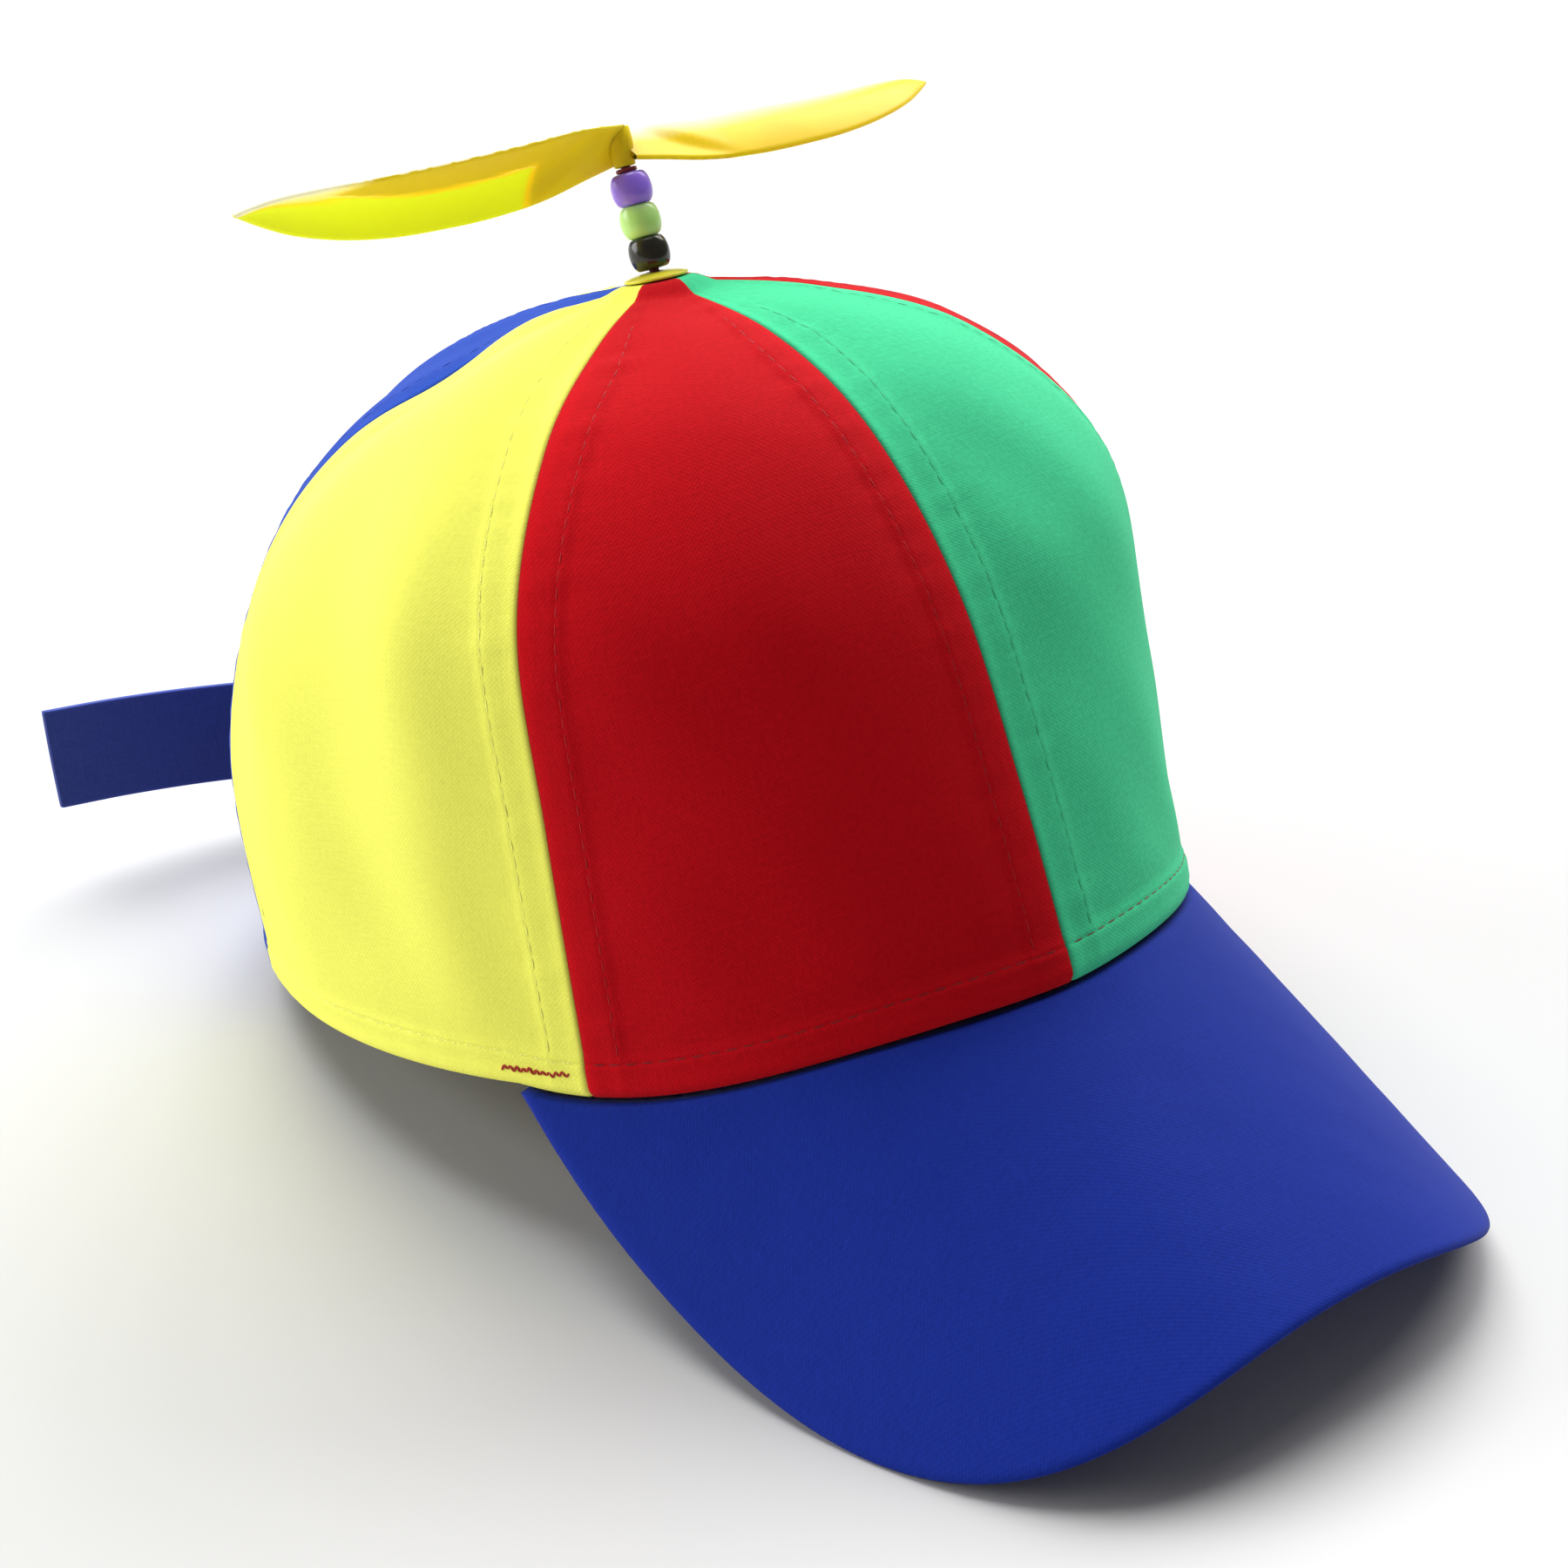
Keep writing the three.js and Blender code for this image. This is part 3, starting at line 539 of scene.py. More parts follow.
def arc_lengths(points, axis):
    """Lengths along a line of points, from its start."""
    steps = np.linalg.norm(np.diff(points, axis=axis), axis=-1)
    pad = [(0, 0)] * steps.ndim
    pad[axis] = (1, 0)
    return np.pad(np.cumsum(steps, axis=axis), pad)


def sheet_rows():
    """Height above the rim and depth of the sheet's middle, from the turned hem to the outside."""
    fold = np.radians(np.linspace(90, -90, 7))[1:-1]
    centre = FOLD_RADIUS + CLOTH / 2 + 0.05
    heights = HEM_ROWS + list(centre - FOLD_RADIUS * np.cos(fold)) + OUTER_ROWS
    depths = [INNER] * len(HEM_ROWS) + list((INNER + OUTER) / 2 + FOLD_RADIUS * np.sin(fold))
    return heights, depths + [OUTER] * len(OUTER_ROWS)


def radius_at(turn, climb):
    return np.linalg.norm((crown(turn, climb) - TOP)[..., :2], axis=-1)


def panel_layout(start, end):
    """Turn, climb, height above the rim, distance from the seams and depth, for each vertex."""
    middle = (start + end) / 2
    fine = np.linspace(0, 1, 400)
    last = fine[np.argmax(radius_at(middle, fine) < TOP_OPEN)]
    climbs = np.linspace(0, last, 240)
    length = arc_lengths(crown(middle, climbs), 0)
    heights, depths = sheet_rows()
    upper = np.arange(heights[-1] + ROW_STEP, length[-1], ROW_STEP)
    heights = np.array(heights + list(upper) + [length[-1]])
    depths = np.array(depths + [OUTER] * (len(upper) + 1))
    row_climb = np.interp(heights, length, climbs)
    inside = np.linspace(0, 1, 65)
    turns_fine = start + (end - start) * inside
    across = arc_lengths(crown(turns_fine[None], row_climb[:, None]), 1)
    width = across[:, -1]
    shrink = np.minimum(1, width / 2 / (SEAM_SIDE[-1] * 1.5))
    cells = round((width.max() - 2 * SEAM_SIDE[-1]) / COLUMN_STEP)
    between = np.linspace(0, 1, cells + 1)[1:-1]
    place = []
    for w, k in zip(width, shrink):
        left = SEAM_SIDE * k + SEAM_GAP
        right = w - left[::-1]
        place.append(np.concatenate([left, left[-1] + (right[0] - left[-1]) * between, right]))
    place = np.array(place)
    turn = np.array([np.interp(p, a, turns_fine) for p, a in zip(place, across)])
    seam_depth = np.concatenate([SEAM_DEPTH, np.zeros(cells - 1), SEAM_DEPTH[::-1]])
    total = arc_lengths(crown(turns_fine[:, None], climbs[None]), 1)
    climb = np.zeros_like(turn)
    for r, height in enumerate(heights):
        own = height + (total[:, -1] - length[-1]) * smooth(height / length[-1], 0.15, 1)
        column = np.array([np.interp(o, t, climbs) for o, t in zip(own, total)])
        climb[r] = np.interp(turn[r], turns_fine, column)
    return {
        "turn": turn, "climb": climb, "height": np.broadcast_to(heights[:, None], turn.shape),
        "seam": np.minimum(place, width[:, None] - place) / shrink[:, None],
        "place": place - width[:, None] / 2, "shrink": shrink[:, None],
        "depth": depths[:, None] + seam_depth[None] * shrink[:, None],
        "outside": np.arange(len(heights))[:, None] >= len(HEM_ROWS) + 5,
    }


def pressed(points, depth):
    """Round the pin the cloth is pressed against the plate's underside."""
    far = np.hypot(points[..., 0] - TOP[0], points[..., 1] - TOP[1]) / PLATE_RADIUS
    seat = TOP[2] - depth - math.tan(PLATE_TILT) * (points[..., 1] - TOP[1])
    points[..., 2] = seat + (points[..., 2] - seat) * smooth(far, 1, PLATE_PRESS)
    return points


cloth_waves = waves((18, 45), 0.22)
seam_puckers = waves((4.5, 9), 0.09)
hem_puckers = waves((5, 11), 0.1)


def panel_surface(layout, start, end):
    """The sheet's middle in the upright cap's frame, its normals, and its wear and painted shade:
    above 0 where the cloth is rubbed, and below 0 where shade is painted into the seam and stitch
    grooves."""
    turn, climb, height = layout["turn"], layout["climb"], layout["height"]
    seam, place = layout["seam"], layout["place"]
    normal = crown_normal(turn, climb)
    flat = smooth(height, 0, 8)
    normal = normal * np.stack([np.ones_like(flat), np.ones_like(flat), flat], -1)
    normal /= np.linalg.norm(normal, axis=-1, keepdims=True)
    hem = 1 - smooth(height, HEM_STITCH - 0.3, HEM_STITCH + 1.6)
    beside = (1 - smooth(seam, SEAM_STITCH, SEAM_STITCH + 1.8)) * layout["shrink"]
    lift = HEM_PUFF * hem * smooth(height, 0, HEM_BEND) + SEAM_LIFT * beside * (1 - 0.6 * hem)
    seam_pull = SEAM_PULL * ridge(seam, SEAM_STITCH, GROOVE) * layout["shrink"]
    seam_pull = seam_pull * smooth(height, HEM_STITCH - 1, HEM_STITCH)
    pulled = np.maximum(seam_pull, ridge(height, HEM_STITCH, GROOVE))
    gathers = seam_puckers(place * 0.3, height) * ridge(seam, 6, 4.5)
    gathers = gathers + hem_puckers(place, height * 0.2) * ridge(height, 6, 5)
    outer = lift - STITCH_PULL * pulled + gathers * smooth(seam, 0, HEM_BEND)
    outer = outer + cloth_waves(place, height) * smooth(seam, 4, 14) * smooth(height, 6, 18)
    out = relief(turn, climb, start, end) + np.where(layout["outside"], outer, 0)
    points = crown(turn, climb) + normal * (out - layout["depth"])[..., None]
    points = pressed(points, layout["depth"])
    rubbed = ridge(seam, *RUBBED_SEAM) + ridge(height, *RUBBED_HEM) * 0.8
    # Painted shade: a dark line along each seam, and a little in the stitch grooves.
    dark = ridge(seam, 0, SEAM_SHADE_WIDTH) + STITCH_SHADE * pulled
    return points, normal, rubbed - SEAM_SHADE * dark


def on_floor(points, least=LEAST_FLOOR):
    """Cloth that would pass the floor lies flat on it."""
    room = to_room(points)
    room[..., 2] = np.maximum(room[..., 2], least)
    return room


built = {}
for name, start, end, dye in PANELS:
    layout = panel_layout(start, end)
    points, normal, wear_and_painted_light = panel_surface(layout, start, end)
    rows, columns = layout["turn"].shape
    bm, ordered = grid_sheet(rows, columns)
    cut = np.stack([layout["place"], arc_lengths(points, 0)], -1)
    place_sheet(bm, ordered, on_floor(points), cut, wear_and_painted_light)
    built[name] = {"bm": bm, "layout": layout, "points": points, "normal": normal}
    print(name, rows, "rows", columns, "columns")

# %% [markdown]
# ## The arch at the back
# Over the strap the two back panels are cut to an arch, and the cut edge is turned in like the
# hem. The faces inside the arch are deleted, the points on the new edge are moved onto the arch
# itself, and the edge is then extruded inwards and up to make the turned strip.

# %% Cut the arch
ARCH_TURN_IN = 8.0
ARCH_CLEAR_OF_HEM = math.radians(17)


def arch_distance(points):
    """How far outside the arch a point is, seen from the back."""
    x, z = points[..., 0], points[..., 2] - ARCH_SHOULDER
    return np.where(z > 0, np.hypot(x, z), np.abs(x)) - ARCH_HALF_WIDTH


def locate_back(x, z, side):
    """Turn and climb of the point of the dome's back that is seen at x and z."""
    turn = side * (180 - np.degrees(np.arcsin(np.clip(side * x / RIM_HALF_WIDTH, -0.9, 0.9))))
    climb = np.maximum(z, 0) / (CROWN_HEIGHT * RIM_CLIMB)
    for _ in range(12):
        here = crown(turn, climb)
        by_turn = (crown(turn + 0.1, climb) - here) / 0.1
        by_climb = (crown(turn, climb + 0.002) - here) / 0.002
        ex, ez = x - here[..., 0], z - here[..., 2]
        det = by_turn[..., 0] * by_climb[..., 2] - by_climb[..., 0] * by_turn[..., 2]
        turn = turn + (ex * by_climb[..., 2] - ez * by_climb[..., 0]) / det
        climb = np.clip(climb + (ez * by_turn[..., 0] - ex * by_turn[..., 2]) / det, 0, 1)
    return turn, climb


def from_room(points):
    x, y, z = np.moveaxis(np.asarray(points, float) - CAP_PLACE, -1, 0)
    c, s = math.cos(CAP_TILT), math.sin(CAP_TILT)
    return np.stack([x, c * y - s * z, c * z + s * y], -1)


def arch_points(angles, grow, depth, side):
    """Points on the cloth beside the arch: by angle, distance from its edge and depth."""
    reach = ARCH_HALF_WIDTH + grow
    x = side * reach * np.cos(angles)
    z = ARCH_SHOULDER + reach * np.sin(angles)
    turn, climb = locate_back(x, z, side)
    normal = crown_normal(turn, climb)
    start, end = (BACK_SEAM, 180.0) if side > 0 else (-180.0, -BACK_SEAM)
    out = relief(turn, climb, start, end) - depth
    return crown(turn, climb) + normal * np.asarray(out)[..., None], normal


def arch_angles(verts, side):
    here = from_room(np.array([vert.co for vert in verts]) / MM)
    height = np.maximum(here[:, 2] - ARCH_SHOULDER, 0)
    return np.arctan2(height, np.maximum(side * here[:, 0], 0.05)), here


def cut_arch(name, side):
    """Deletes the cloth inside the arch and moves the new edge's points onto the arch."""
    bm = built[name]["bm"]
    wear_and_painted_light = bm.verts.layers.float["wear_and_painted_light"]
    inside = [
        face for face in bm.faces
        if arch_distance(from_room(np.array(face.calc_center_median()) / MM)) < 0
    ]
    before = {edge for edge in bm.edges if edge.is_boundary}
    bmesh.ops.delete(bm, geom=inside, context="FACES")
    edges = [edge for edge in bm.edges if edge.is_boundary and edge not in before]
    verts = list({vert for edge in edges for vert in edge.verts})
    angle, here = arch_angles(verts, side)
    below = here[:, 2] < ARCH_SHOULDER
    moved, _ = arch_points(angle, 0.0, OUTER + 0.25, side)
    moved[below, 0] = side * ARCH_HALF_WIDTH
    moved[below, 1:] = here[below, 1:]
    for vert, place in zip(verts, on_floor(moved)):
        vert.co = place * MM
        vert[wear_and_painted_light] = 0.5
    return edges


def turn_in(name, side, edges):
    """Draws the arch's edge out inside the cloth, away from the arch, as the strip turned in."""
    bm = built[name]["bm"]
    along = bm.verts.layers.float["along"]
    angle, _ = arch_angles([edge.verts[0] for edge in edges], side)
    edges = [edge for edge, a in zip(edges, angle) if a > ARCH_CLEAR_OF_HEM]
    last = 0.0
    for grow, depth in ((0.15, INNER * 0.7), (0.8, INNER), (ARCH_TURN_IN, INNER)):
        made = bmesh.ops.extrude_edge_only(bm, edges=edges)["geom"]
        verts = [item for item in made if isinstance(item, bmesh.types.BMVert)]
        fresh = set(verts)
        edges = [
            item for item in made
            if isinstance(item, bmesh.types.BMEdge) and fresh.issuperset(item.verts)
        ]
        angle, _ = arch_angles(verts, side)
        moved, _ = arch_points(angle, grow, depth, side)
        for vert, place in zip(verts, to_room(moved)):
            vert.co = place * MM
            vert[along] += (grow - last) * MM
        last = grow


for name, side in (("panel_back_right", -1), ("panel_back_left", 1)):
    edges = cut_arch(name, side)
    turn_in(name, side, edges)
    print(name, "arch edge of", len(edges), "edges")

# %% [markdown]
# ## Stitches
# A row of stitches runs 6.5 mm from each seam, from the hem to the plate, and another row holds the
# turned hem. They sit in the groove that they draw in. On the red and green panels the hem is
# sewn with dark red thread, and a loose end of red thread crosses the yellow panel's hem.

# %% Sew the seams, the hem and the arch
STITCH_PITCH = 3.0
STITCH_LENGTH = 2.3
THREAD_RADIUS = 0.13
STITCH_COLUMN = list(SEAM_SIDE).index(SEAM_STITCH)
HEM_ROW = len(HEM_ROWS) + 5 + OUTER_ROWS.index(HEM_STITCH)
ARCH_STITCH = 5.5


def spun_thread(name, code):
    """Spun polyester sewing thread, with the slant of its two plies."""
    material, tree, shader = new_material(name)
    colour = linear(code)
    place = add(tree, "TexCoord").outputs["Object"]
    plies = add(tree, "TexWave", {"Vector": place, "Scale": 900, "Distortion": 1.5}).outputs["Fac"]
    dyed = mixed(tree, plies, shade(colour, 0.75), shade(colour, 1.1))
    tree.links.new(dyed, shader.inputs["Base Color"])
    shader.inputs["Roughness"].default_value = 0.6
    shader.inputs["Specular IOR Level"].default_value = 0.3
    return material


THREADS = {
    "red": spun_thread("red_polyester_thread_spun", "b8141c"),
    "dark_red": spun_thread("dark_red_polyester_thread_spun", "7a1414"),
    "green": spun_thread("green_polyester_thread_spun", "42c08c"),
    "yellow": spun_thread("yellow_polyester_thread_spun", "fcfc84"),
    "blue": spun_thread("blue_polyester_thread_spun", "2440a8"),
    "frayed": spun_thread("frayed_red_polyester_thread", "b83c26"),
}


def lay_thread(bm, start, end, normal, radius=THREAD_RADIUS):
    """One stitch: a short low thread between two points in the room."""
    along = Vector(end - start)
    across = Vector(normal).cross(along).normalized()
    up = along.cross(across).normalized()
    axes = Matrix((across * radius, up * radius, along / 2)).transposed().to_4x4()
    place = Matrix.Translation(Vector(start + end) / 2 * MM) @ Matrix.Scale(MM, 4) @ axes
    bmesh.ops.create_uvsphere(bm, u_segments=6, v_segments=5, radius=1, matrix=place)


def sew(bm, line, normals):
    """A row of stitches along a line of points in the upright cap."""
    line, normals = to_room(line), to_room(normals) - CAP_PLACE
    run = arc_lengths(line, 0)
    for start in np.arange(STITCH_PITCH / 2, run[-1] - STITCH_LENGTH, STITCH_PITCH):
        holes = (start, start + STITCH_LENGTH)
        ends, up = (
            np.array([[np.interp(hole, run, column) for column in values.T] for hole in holes])
            for values in (line, normals)
        )
        lay_thread(bm, ends[0], ends[1], up.mean(0))


def outer_line(name, rows, column):
    """Points and normals on the outer face of a panel, clear of the arch."""
    surface = built[name]
    line, normals = surface["points"][rows, column], surface["normal"][rows, column]
    line = line + normals * CLOTH / 2
    if "back" in name:
        clear = arch_distance(line) > ARCH_STITCH
        line, normals = line[clear], normals[clear]
    return line, normals


HEM_THREADS = {"panel_front_right": "dark_red", "panel_front_left": "dark_red"}
for name, start, end, dye in PANELS:
    shrink = built[name]["layout"]["shrink"][:, 0]
    seam_rows = slice(HEM_ROW, int(np.argmax(shrink < 0.6)))
    seams, hem = bmesh.new(), bmesh.new()
    for column in (STITCH_COLUMN, -1 - STITCH_COLUMN):
        sew(seams, *outer_line(name, seam_rows, column))
    sew(hem, *outer_line(name, HEM_ROW, slice(3, -3)))
    if "back" in name:
        side = 1 if start > 0 else -1
        line, normals = arch_points(np.radians(np.linspace(4, 88, 60)), ARCH_STITCH, 0.0, side)
        sew(seams, line, normals)
    short = name.replace("panel_", "")
    built[name]["sewn"] = [
        finish_mesh(seams, "seam_stitches_" + short, THREADS[dye]),
        finish_mesh(hem, "hem_stitches_" + short, THREADS[HEM_THREADS.get(name, dye)]),
    ]
    print(short, "stitches:", sum(len(piece.data.polygons) for piece in built[name]["sewn"]) // 30)

LOOSE_ENDS = (-68.4, 5.2), (-60.2, 6.4)
LOOSE_LOOPS = 22
LOOSE_HEIGHT = 1.0
LOOSE_RADIUS = 0.26
LOOSE_LIFT = 0.15
turns, heights = (np.linspace(a, b, LOOSE_LOOPS) for a, b in zip(*LOOSE_ENDS))
up_or_down = np.where(np.arange(LOOSE_LOOPS) % 2, 1, -1)
heights = heights + LOOSE_HEIGHT * up_or_down * rng.uniform(0.4, 1, LOOSE_LOOPS)
climbs = heights / (CROWN_HEIGHT * RIM_CLIMB)
normals = crown_normal(turns, climbs)
line = to_room(crown(turns, climbs) + normals * (HEM_PUFF + LOOSE_LIFT))
normals = to_room(normals) - CAP_PLACE
bm = bmesh.new()
for i in range(len(line) - 1):
    lay_thread(bm, line[i], line[i + 1], normals[i], LOOSE_RADIUS)
built["panel_side_right"]["sewn"].append(finish_mesh(bm, "loose_red_thread", THREADS["frayed"]))

# %% [markdown]
# ## Finish the panels
# Each sheet gets its thickness. The size of the leaf that it was cut as is printed: its widest
# row, its length along the middle, and the area between its two edges.

# %% Finish the panels
for name, start, end, dye in PANELS:
    surface = built[name]
    layout = surface["layout"]
    area = sum(face.calc_area() for face in surface["bm"].faces)
    middle = layout["turn"].shape[1] // 2
    flat_length = arc_lengths(surface["points"][:, middle], 0)[-1] * MM
    flat_width = 2 * layout["place"].max() * MM
    panel = finish_mesh(surface["bm"], name.replace("panel", "cloth"), CLOTHS[dye])
    thicken(panel, CLOTH)
    for piece in (panel, *surface["sewn"]):
        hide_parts(name)
    cut_size = round(flat_width / MM), round(flat_length / MM)
    print(name, "cut, mm:", *cut_size, "area, cm2:", round(area * 1e4))

# %% [markdown]
# ## The visor
# A visor is a curved board between two layers of the same cloth, sewn at its outer edge and
# turned, so the edge is soft and round. One sheet runs over the top, round the edge and back
# underneath. Its thickness is drawn in near the edge by the square root that gives a round nose.

# %% Build the visor
VISOR_LIP = 3.0
BOARD = 1.9
EDGE_NOSE = 1.3
VISOR_COLUMNS = 141
VISOR_STEPS = np.array([0, 0.1, 0.3, 0.6, 1.0, 1.5, 2.1, 3, 4, 5.5, 7])
VISOR_INNER_ROWS = 30
RUBBED_EDGE = 0.4, 0.8
MERGE_WITHIN = 0.004 * MM


def visor_edge(share):
    """The outer edge seen from above: a squared half ellipse whose sides swing in to the rim."""
    angle = np.radians(-90 + 180 * share)
    power = 2 / VISOR_SQUARENESS
    reach = RIM_HALF_LENGTH + VISOR_END[1] + VISOR_LENGTH
    forward = np.clip(np.cos(angle), 0, 1) ** power * reach
    wide = np.abs(np.sin(angle)) ** power * VISOR_HALF_WIDTH
    swing = np.clip(1 - forward / VISOR_FLARE_LENGTH, 0, 1) ** 2
    x = np.sign(angle) * (wide + (VISOR_END[0] - wide) * swing)
    return np.stack([x, VISOR_END[1] - forward], -1)


def edge_distance(x, y):
    """Distance from the visor's outer edge, seen from above."""
    line = visor_edge(np.linspace(0, 1, 900))
    a, b = line[:-1], line[1:]
    along = b - a
    points = np.stack([x, y], -1)[..., None, :]
    t = ((points - a) * along).sum(-1) / np.maximum((along ** 2).sum(-1), 1e-9)
    nearest = a + along * np.clip(t, 0, 1)[..., None]
    return np.linalg.norm(points - nearest, axis=-1).min(-1)


visor_waves = waves((30, 70), 0.18)
visor_weave = waves((6, 12), 0.04)


def visor_point(x, y, side):
    """The visor's cloth above (side 1) or below (side -1) its board, in the upright cap's frame."""
    step = 0.5
    by_x = (visor_sheet(x + step, y) - visor_sheet(x - step, y)) / (2 * step)
    normal = np.stack([-by_x, np.full_like(by_x, -VISOR_SLOPE), np.ones_like(by_x)], -1)
    normal /= np.linalg.norm(normal, axis=-1, keepdims=True)
    near = np.clip(edge_distance(x, y) / EDGE_NOSE, 0, 1)
    half = BOARD / 2 * np.sqrt(1 - (1 - near) ** 2)
    far = smooth(edge_distance(x, y), 3, 12)
    out = half + (visor_waves(x, y) + visor_weave(x, y)) * far * 0.5 * (1 + side)
    middle = np.stack([x, y, visor_height(x, y) - GAP - VISOR_THICKNESS / 2], -1)
    return middle + normal * (side * out)[..., None]


def visor_rows():
    """Shares of the way from the rim to the outer edge, finer near the edge."""
    nose = 1 - VISOR_STEPS / VISOR_LENGTH
    inner = np.linspace(0, nose[-1], VISOR_INNER_ROWS + 1)[:-1]
    return np.concatenate([inner, nose[::-1]])


def build_visor():
    half = np.linspace(0, 1, VISOR_COLUMNS // 2 + 1)
    turn = VISOR_TURN * np.concatenate([-half[:0:-1], half])
    at_rim, lip = rim(turn), rim(turn, VISOR_LIP)
    outer = visor_edge(np.linspace(0, 1, VISOR_COLUMNS))
    share = visor_rows()[:, None, None]
    plan = at_rim[None, :, :2] * (1 - share) + outer[None] * share
    cloths = []
    for side in (-1, 1):
        cloth = visor_point(plan[..., 0], plan[..., 1], side)
        hidden = lip.copy()
        hidden[:, 2] = cloth[0, :, 2]
        cloths.append(np.concatenate([hidden[None], cloth]))
    under, over = cloths
    plan = np.concatenate([lip[None, :, :2], plan])
    points = np.concatenate([under, over[::-1][1:]])
    bm, ordered = grid_sheet(*points.shape[:2])
    cut = np.concatenate([plan, (plan * [1, -1])[::-1][1:]]) * [1, math.hypot(1, VISOR_SLOPE)]
    plans = np.concatenate([plan, plan[::-1][1:]])
    edge = edge_distance(plans[..., 0], plans[..., 1])
    wear_and_painted_light = ridge(edge, *RUBBED_EDGE) * 0.6
    place_sheet(bm, ordered, on_floor(points, 0.0), cut, wear_and_painted_light)
    bmesh.ops.remove_doubles(bm, verts=bm.verts[:], dist=MERGE_WITHIN)
    bmesh.ops.holes_fill(bm, edges=[e for e in bm.edges if e.is_boundary], sides=0)
    bmesh.ops.triangulate(bm, faces=[face for face in bm.faces if len(face.verts) > 4])
    bmesh.ops.recalc_face_normals(bm, faces=bm.faces[:])
    return finish_mesh(bm, "visor_cloth", CLOTHS["visor"])


visor = build_visor()
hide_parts("visor")
print("visor faces:", len(visor.data.polygons))

# %% [markdown]
# ## The strap
# The back strap is a flat woven cotton tape. One end is sewn inside the left back panel, and the
# other is free: the tape is stiff enough to stand out from the cap, with a slight curl. Its
# woven edges, the selvages, are a little lighter than the rest.

# %% Build the strap
STRAP_WIDTH = 21.0
STRAP_THICKNESS = 1.4
STRAP_LAP = 8.0
STRAP_SEAT = 0.7
STRAP_RAISE = 3.0
STRAP_FREE_LENGTH = 119.0
STRAP_CURL = math.radians(35)
STRAP_RISE = math.radians(6.5)
STRAP_LEAN = math.radians(10)
STRAP_STEPS = 8
STRAP_ROWS = 110
STRAP_COLUMNS = np.array([0, 1.2, 3, 6, 12, 25, 40, 60, 75, 88, 94, 97, 98.8, 100]) / 100
STRAP_CUP = 0.35
SELVAGE_WEAR = 2.5
SELVAGE_SHARE = 0.02
HEM_THICKNESS = 2.0
ARCH_TURN = 180 - math.degrees(math.asin(ARCH_HALF_WIDTH / RIM_HALF_WIDTH))


def strap_stations():
    """Lower edge and width of the strap at its stations, in the room, as in the solid."""
    depth = HEM_THICKNESS + STRAP_SEAT + STRAP_THICKNESS / 2
    climb = STRAP_WIDTH / (CROWN_HEIGHT * RIM_CLIMB)
    lower, widths = [], []
    for turn in np.linspace(ARCH_TURN - STRAP_LAP, ARCH_TURN, 4):
        low = to_room(rim(turn, depth))
        out = relief(turn, climb, BACK_SEAM, 180.0) - depth
        high = to_room(crown(turn, climb) + crown_normal(turn, climb) * out)
        width = (high - low) / np.linalg.norm(high - low)
        lower.append(low + width * STRAP_RAISE)
        widths.append(width * STRAP_WIDTH)
    heading = math.atan2(lower[-1][1] - lower[-2][1], lower[-2][0] - lower[-1][0])
    free = STRAP_WIDTH * np.array([0, math.sin(STRAP_LEAN), math.cos(STRAP_LEAN)])
    place, root = lower[-1].copy(), widths[-1]
    for i in range(1, STRAP_STEPS + 1):
        bend = heading - STRAP_CURL * (i - 0.5) / STRAP_STEPS
        way = np.array([-math.cos(bend), math.sin(bend), math.tan(STRAP_RISE)])
        place = place + way / np.linalg.norm(way) * STRAP_FREE_LENGTH / STRAP_STEPS
        width = root + (free - root) * i / STRAP_STEPS
        lower.append(place)
        widths.append(width / np.linalg.norm(width) * STRAP_WIDTH)
    return np.array(lower), np.array(widths)


def through(table, places, wanted):
    """The rows of table stand at places. A smooth curve passes them, and is read at wanted."""
    table, places = np.asarray(table, float), np.asarray(places, float)
    slopes = np.gradient(table, places, axis=0)
    i = np.clip(np.searchsorted(places, wanted) - 1, 0, len(places) - 2)
    run = places[i + 1] - places[i]
    t = (wanted - places[i]) / run
    t, run = (a.reshape(a.shape + (1,) * (table.ndim - 1)) for a in (t, run))
    first = (2 * t ** 3 - 3 * t ** 2 + 1) * table[i] + (t ** 3 - 2 * t ** 2 + t) * run * slopes[i]
    last = (t ** 3 - t ** 2) * run * slopes[i + 1]
    return first + (3 * t ** 2 - 2 * t ** 3) * table[i + 1] + last


def build_strap():
    lower, widths = strap_stations()
    places = arc_lengths(lower, 0)
    wanted = np.linspace(0, places[-1], STRAP_ROWS)
    low, wide = through(lower, places, wanted), through(widths, places, wanted)
    across = STRAP_COLUMNS
    points = low[:, None] + wide[:, None] * across[None, :, None]
    ahead = np.gradient(low, axis=0)
    face = np.cross(ahead, wide)
    face /= np.linalg.norm(face, axis=1, keepdims=True)
    cupped = STRAP_CUP * np.sin(np.pi * across)
    points = points + face[:, None] * cupped[None, :, None]
    bm, ordered = grid_sheet(len(wanted), len(across))
    cut = np.stack(np.meshgrid(across * STRAP_WIDTH, wanted), -1)
    selvage = SELVAGE_WEAR * ridge(np.minimum(across, 1 - across), 0, SELVAGE_SHARE)
    place_sheet(bm, ordered, points, cut, np.tile(selvage, (STRAP_ROWS, 1)))
    return finish_mesh(bm, "strap_tape", CLOTHS["navy"]), wanted[-1]


strap, strap_length = build_strap()
thicken(strap, STRAP_THICKNESS)
soft_edge = strap.modifiers.new("soft_edge", "BEVEL")
soft_edge.width = 0.3 * MM
soft_edge.segments = 2
soft_edge.limit_method = "ANGLE"
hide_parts("back_strap")
print("strap length, mm:", round(strap_length, 1))

# %% [markdown]
# ## Moulded plastics
# The plate, the beads and the propeller are small injection mouldings: smooth and glossy, with a
# faint unevenness where the plastic shrank. The yellow of the plate and the blades is dyed
# through but thin, so some light passes it. A blade looks golden from above, where it reflects;
# its underside is painted lime as light coming through, with painted ochre shade at the root and
# along the high edge, and its thin high edge is painted pale as a painted glare. The black bead is
# opaque.

